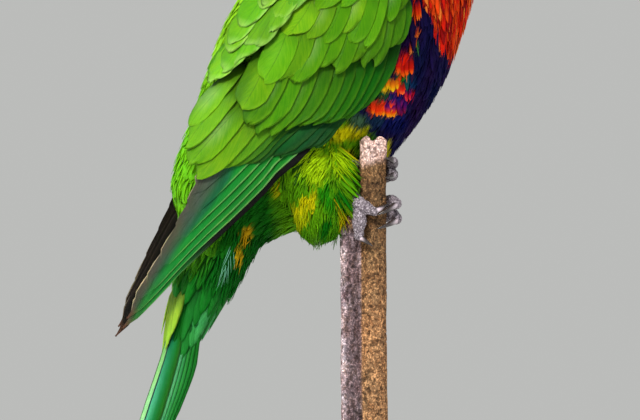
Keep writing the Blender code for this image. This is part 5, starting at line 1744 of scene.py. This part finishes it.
def claw_line(toe, sweep, drop, inward=0.6):
    tip = toe[-1]
    offset = tip - STEM
    angle = math.degrees(math.atan2(offset.y, offset.x)) - CAMERA_SIDE
    radius = math.hypot(offset.x, offset.y)
    return [round_stem(angle + sweep * k / 4, radius - inward * k / 4, tip.z + drop * k / 4)
            for k in range(5)]


def tube(line, radii, steps, sides):
    """Points and faces of a smooth bar, with the share along it and the angle round it."""
    rows = smooth_rows([(*p, r) for p, r in zip(line, radii)], steps)
    places = np.array([row[:3] for row in rows])
    sizes = np.array([row[3] for row in rows])
    ahead = unit(np.gradient(places, axis=0))
    side = unit(np.cross(ahead, [0.13, 0.21, 0.97]))
    up = np.cross(side, ahead)
    rings, shares, angles = [], [], []
    caps = [(-1, 0.35), (-0.75, 0.75), (0, 1)]
    order = [(0, back, scale) for back, scale in caps]
    order += [(i, 0, 1) for i in range(1, len(rows) - 1)]
    order += [(len(rows) - 1, -back, scale) for back, scale in reversed(caps)]
    for i, shift, scale in order:
        ring = []
        for k in range(sides):
            turn = TURN * k / sides
            reach = side[i] * math.cos(turn) + up[i] * math.sin(turn)
            ring.append(places[i] + ahead[i] * shift * sizes[i] * 0.9 + reach * sizes[i] * scale)
            shares.append(i / (len(rows) - 1))
            angles.append(turn)
        rings.append(ring)
    points, faces = loft_data(rings)
    return np.array(points), faces, np.array(shares), np.array(angles)


def make_feet():
    leather = scaly("foot_scales", 2100.0, 0.6)
    claw_horn = horn("claw_horn", 0.28, 0.5)
    for side, (hub, toes, tarsus), sweeps in (("right", right_foot_lines(), RIGHT_CLAWS),
                                              ("left", left_foot_lines(), LEFT_CLAWS)):
        sets = []
        lines = [(toe, TOE_RADII[-len(toe):]) for toe in toes] + [(tarsus, [2.5, 2.4, 2.5])]
        for line, radii in lines:
            points, faces, share, _ = tube(line, radii, 12, TOE_SIDES)
            knots = 0.10 * np.sin(share * TURN * (len(line) - 1) * 0.75)
            middle = points.copy()
            for i in range(0, len(points), TOE_SIDES):
                middle[i:i + TOE_SIDES] = points[i:i + TOE_SIDES].mean(0)
            points = middle + (points - middle) * (1 + knots)[:, None]
            sets.append((points, faces))
        palm = [hub + Vector((0, 0, 1.2)), hub, hub - Vector((0, 0, 1.2))]
        sets.append(tube(palm, [2.3, 2.85, 2.3], 8, TOE_SIDES)[:2])
        mesh, places, normals = fused("foot_form", *join_data(sets), FOOT_VOXEL, 0.5, 4)
        beads = np.empty(len(places))
        for i, p in enumerate(places):
            distances = noise.voronoi(Vector(p) * 1.25)[0]
            beads[i] = distances[1] - distances[0]
        raised = ramp(beads, 0.02, 0.45)
        places = places + normals * (0.12 * raised + 0.12)[:, None]
        move_points(mesh, places)
        # Painted shade: the left foot is painted at half the brightness of the right, as it lies in the
        # body's shadow.
        grey = mix(tint(84, 72, 84), tint(190, 178, 190), raised) * (1.0 if side == "right" else 0.5)
        grey = grey * (1 + 0.15 * cloud(places, 0.4, 3))[:, None]
        lay_paint(mesh, grey)
        keep(placed("foot_skin_" + side, mesh, leather), "foot_skin", "foot_" + side)
        for number, (toe, (sweep, drop)) in enumerate(zip(toes, sweeps), start=1):
            points, faces, share, angle = tube(claw_line(toe, sweep, drop), CLAW_RADII, 8, 20)
            away = np.hypot(points[:, 0] - STEM.x, points[:, 1] - STEM.y)
            # Painted highlight: the ridge of each claw, farthest from the stem, is painted pale over the
            # dark horn.
            ridge = ramp(away, np.percentile(away, 68), np.percentile(away, 99))
            shade = mix(tint(30, 22, 24), tint(206, 194, 206), ridge ** 4)
            shade = shade * (1 + 0.05 * np.cos(angle * 3))[:, None]
            claw = mesh_object(f"claw_horn_{side}_{number}", points, faces, claw_horn, shade)
            keep(claw, "claw_horn", f"claw_{side}_{number}")


# Perch and stand

def make_perch():
    bark = bark_material()
    sets = []
    for axis, radius, top, foot, lean, spread, seed in (
            (STEM, STEM_RADIUS, STEM_TOP, PERCH_FOOT, -0.4, 1.2, 1.0),
            (FORK, FORK_RADIUS, FORK_TOP, PERCH_FOOT, FORK_LEAN, 1.3, 2.0)):
        sides, rows = 56, 150
        rings = []
        for k in range(rows):
            share = k / (rows - 1)
            z = foot + (top - foot) * share
            wide = radius * (1 + 0.09 * share ** 8) + spread * (1 - share) ** 2
            ring = []
            for i in range(sides):
                turn = TURN * i / sides
                here = Vector((math.cos(turn), math.sin(turn), z * 0.06)) * 1.6
                spin = Vector((math.cos(turn) * 2.2, math.sin(turn) * 2.2, z * 0.05 + seed * 9))
                ridge = noise.fractal(spin, 0.7, 2.0, 5)
                reach = wide + 0.32 * ridge + 0.25 * noise.noise(here + Vector((seed, 0, 0)))
                ring.append(Vector((axis.x + lean * (1 - share) ** 2 + reach * math.cos(turn),
                                    axis.y + reach * math.sin(turn), z)))
            rings.append(ring)
        face = math.radians(CAMERA_SIDE)
        for share in (0.93, 0.8, 0.6, 0.4, 0.2, 0.05):
            ring = []
            for i, point in enumerate(rings[rows - 1]):
                turn = TURN * i / sides
                lobe = 0.5 + 0.5 * math.cos(2 * (turn - face - math.pi / 2))
                rise = 1.9 * lobe * math.sin(math.pi * min(share + 0.06, 1.0)) - 1.4 * (1 - share) ** 2
                jag = 0.6 * noise.noise(Vector((math.cos(turn) * 3, math.sin(turn) * 3, share * 4 + seed)))
                middle = Vector((axis.x, axis.y, point.z))
                ring.append(middle + (point - middle) * share + Vector((0, 0, rise + jag)))
            rings.append(ring)
        sets.append(loft_data(rings))
    mesh, places, normals = fused("perch_form", *join_data(sets), PERCH_VOXEL, 0.4, 2)
    z = places[:, 2]
    leant = FORK_LEAN * ((FORK_TOP - z) / 74) ** 2
    from_fork = np.hypot(places[:, 0] - FORK.x - leant, places[:, 1] - FORK.y) / FORK_RADIUS
    from_stem = np.hypot(places[:, 0] - STEM.x, places[:, 1] - STEM.y) / STEM_RADIUS
    patch = cloud(places, 0.12, 2)
    brown = mix(tint(88, 65, 42), tint(112, 86, 58), 0.5 + 0.5 * patch)
    low = mix(brown, tint(132, 100, 70), 1 - ramp(z, 100, 130))
    pale = mix(low, tint(184, 158, 154), ramp(z + 2.5 * patch, 152.5, 156.5))
    grey = mix(tint(116, 98, 106), tint(178, 166, 176), 0.5 + 0.5 * cloud(places, 0.3, 7))
    angle = np.degrees(np.arctan2(places[:, 1] - FORK.y, places[:, 0] - FORK.x)) - CAMERA_SIDE
    angle = (angle + 180) % 360 - 180 + 10 * cloud(places * np.array([1, 1, 0.3]), 0.4, 11)
    groove = ramp(angle, -45, -15) * (1 - ramp(angle, 60, 90))
    grey = mix(grey, tint(66, 50, 54), groove * 0.8)
    in_fork = ramp(from_stem - from_fork, -0.15, 0.15) * (1 - ramp(z, 131, 135))
    paint = mix(pale, grey, in_fork)
    pits = cloud(places, 0.8, 4)
    paint = paint * (1 - 0.6 * ramp(pits, 0.3, 0.7))[:, None]
    sunk = 0.5 * groove * in_fork + 0.25 * ramp(pits, 0.3, 0.7)
    move_points(mesh, places - normals * sunk[:, None])
    lay_paint(mesh, paint)
    keep(placed("perch_bark", mesh, bark), "bark", "perch")


def make_stand():
    for name, material in (("stand_base", stand_paint()), ("stand_rod", stand_steel())):
        mesh = NODES[name].data
        mesh.materials.clear()
        mesh.materials.append(material)


# Stage, light and camera

def make_stage():
    sides = 96
    rings = [[(radius * math.cos(TURN * i / sides), radius * math.sin(TURN * i / sides), 0)
              for i in range(sides)] for radius in FLOOR_RADII]
    points = [(0, 0, 0)] + [point for ring in rings for point in ring]
    faces = [(0, 1 + i, 1 + (i + 1) % sides) for i in range(sides)]
    faces += [tuple(1 + corner for corner in (a, d, c, b))
              for a, b, c, d in grid_faces(len(rings), sides)]
    k = Nodes("floor_pale")
    grain = k.noise(60.0, 3.0)
    colour = k.blend(grain, (0.74, 0.74, 0.72), (0.80, 0.80, 0.78))
    material = k.finish(colour, 0.7, Specular_IOR_Level=0.2)
    floor = mesh_object("floor", points, faces, material)
    scene = bpy.context.scene
    scene.view_settings.view_transform = "Standard"
    world = bpy.data.worlds.new("studio")
    scene.world = world
    world.use_nodes = True
    back = world.node_tree.nodes["Background"]
    back.inputs["Color"].default_value = STUDIO
    back.inputs["Strength"].default_value = STUDIO_STRENGTH
    for name, place, size, power, colour in LAMPS:
        light = bpy.data.lights.new(name, "AREA")
        light.size = size
        light.energy = power
        light.color = colour
        lamp = bpy.data.objects.new(name, light)
        lamp.location = place
        aim = LAMP_AIM - Vector(place)
        lamp.rotation_mode = "QUATERNION"
        lamp.rotation_quaternion = aim.to_track_quat("-Z", "Y")
        scene.collection.objects.link(lamp)
    turn = math.radians(CAMERA_TURN)
    back_way = Vector((math.sin(turn), -math.cos(turn), 0))
    across = Vector((math.cos(turn), math.sin(turn), 0))
    centre = across * CAMERA_ASIDE * MM + Vector((0, 0, CAMERA_HEIGHT * MM))
    data = bpy.data.cameras.new("camera")
    data.sensor_width = SENSOR
    data.lens = SENSOR * (CAMERA_DISTANCE / MM) / FRAME_WIDTH
    data.clip_start = 0.1
    camera = bpy.data.objects.new("camera", data)
    camera.location = centre + back_way * CAMERA_DISTANCE
    camera.rotation_mode = "QUATERNION"
    camera.rotation_quaternion = (-back_way).to_track_quat("-Z", "Y")
    scene.collection.objects.link(camera)
    scene.camera = camera


def main():
    make_stage()
    skin_object, extra = make_skin(skin_material())
    skin = Skin(skin_object.data, extra)
    places = skin.points
    label = skin.sort(places)
    paint = np.empty((len(places), 3))
    for number, kind in enumerate(skin.labels):
        here = label == number
        if here.any():
            paint[here] = MARKS[kind](places[here])[0]
    lay_paint(skin_object.data, paint * 0.8)
    keep(skin_object, "body_feathers", "head", "neck", "torso", "tail", "thigh_left", "thigh_right",
         "wing_left", "wing_right")
    coat(skin)
    wings()
    tail_feathers()
    make_eyes()
    make_bill()
    make_feet()
    make_perch()
    make_stand()


main()
bpy.context.view_layer.update()
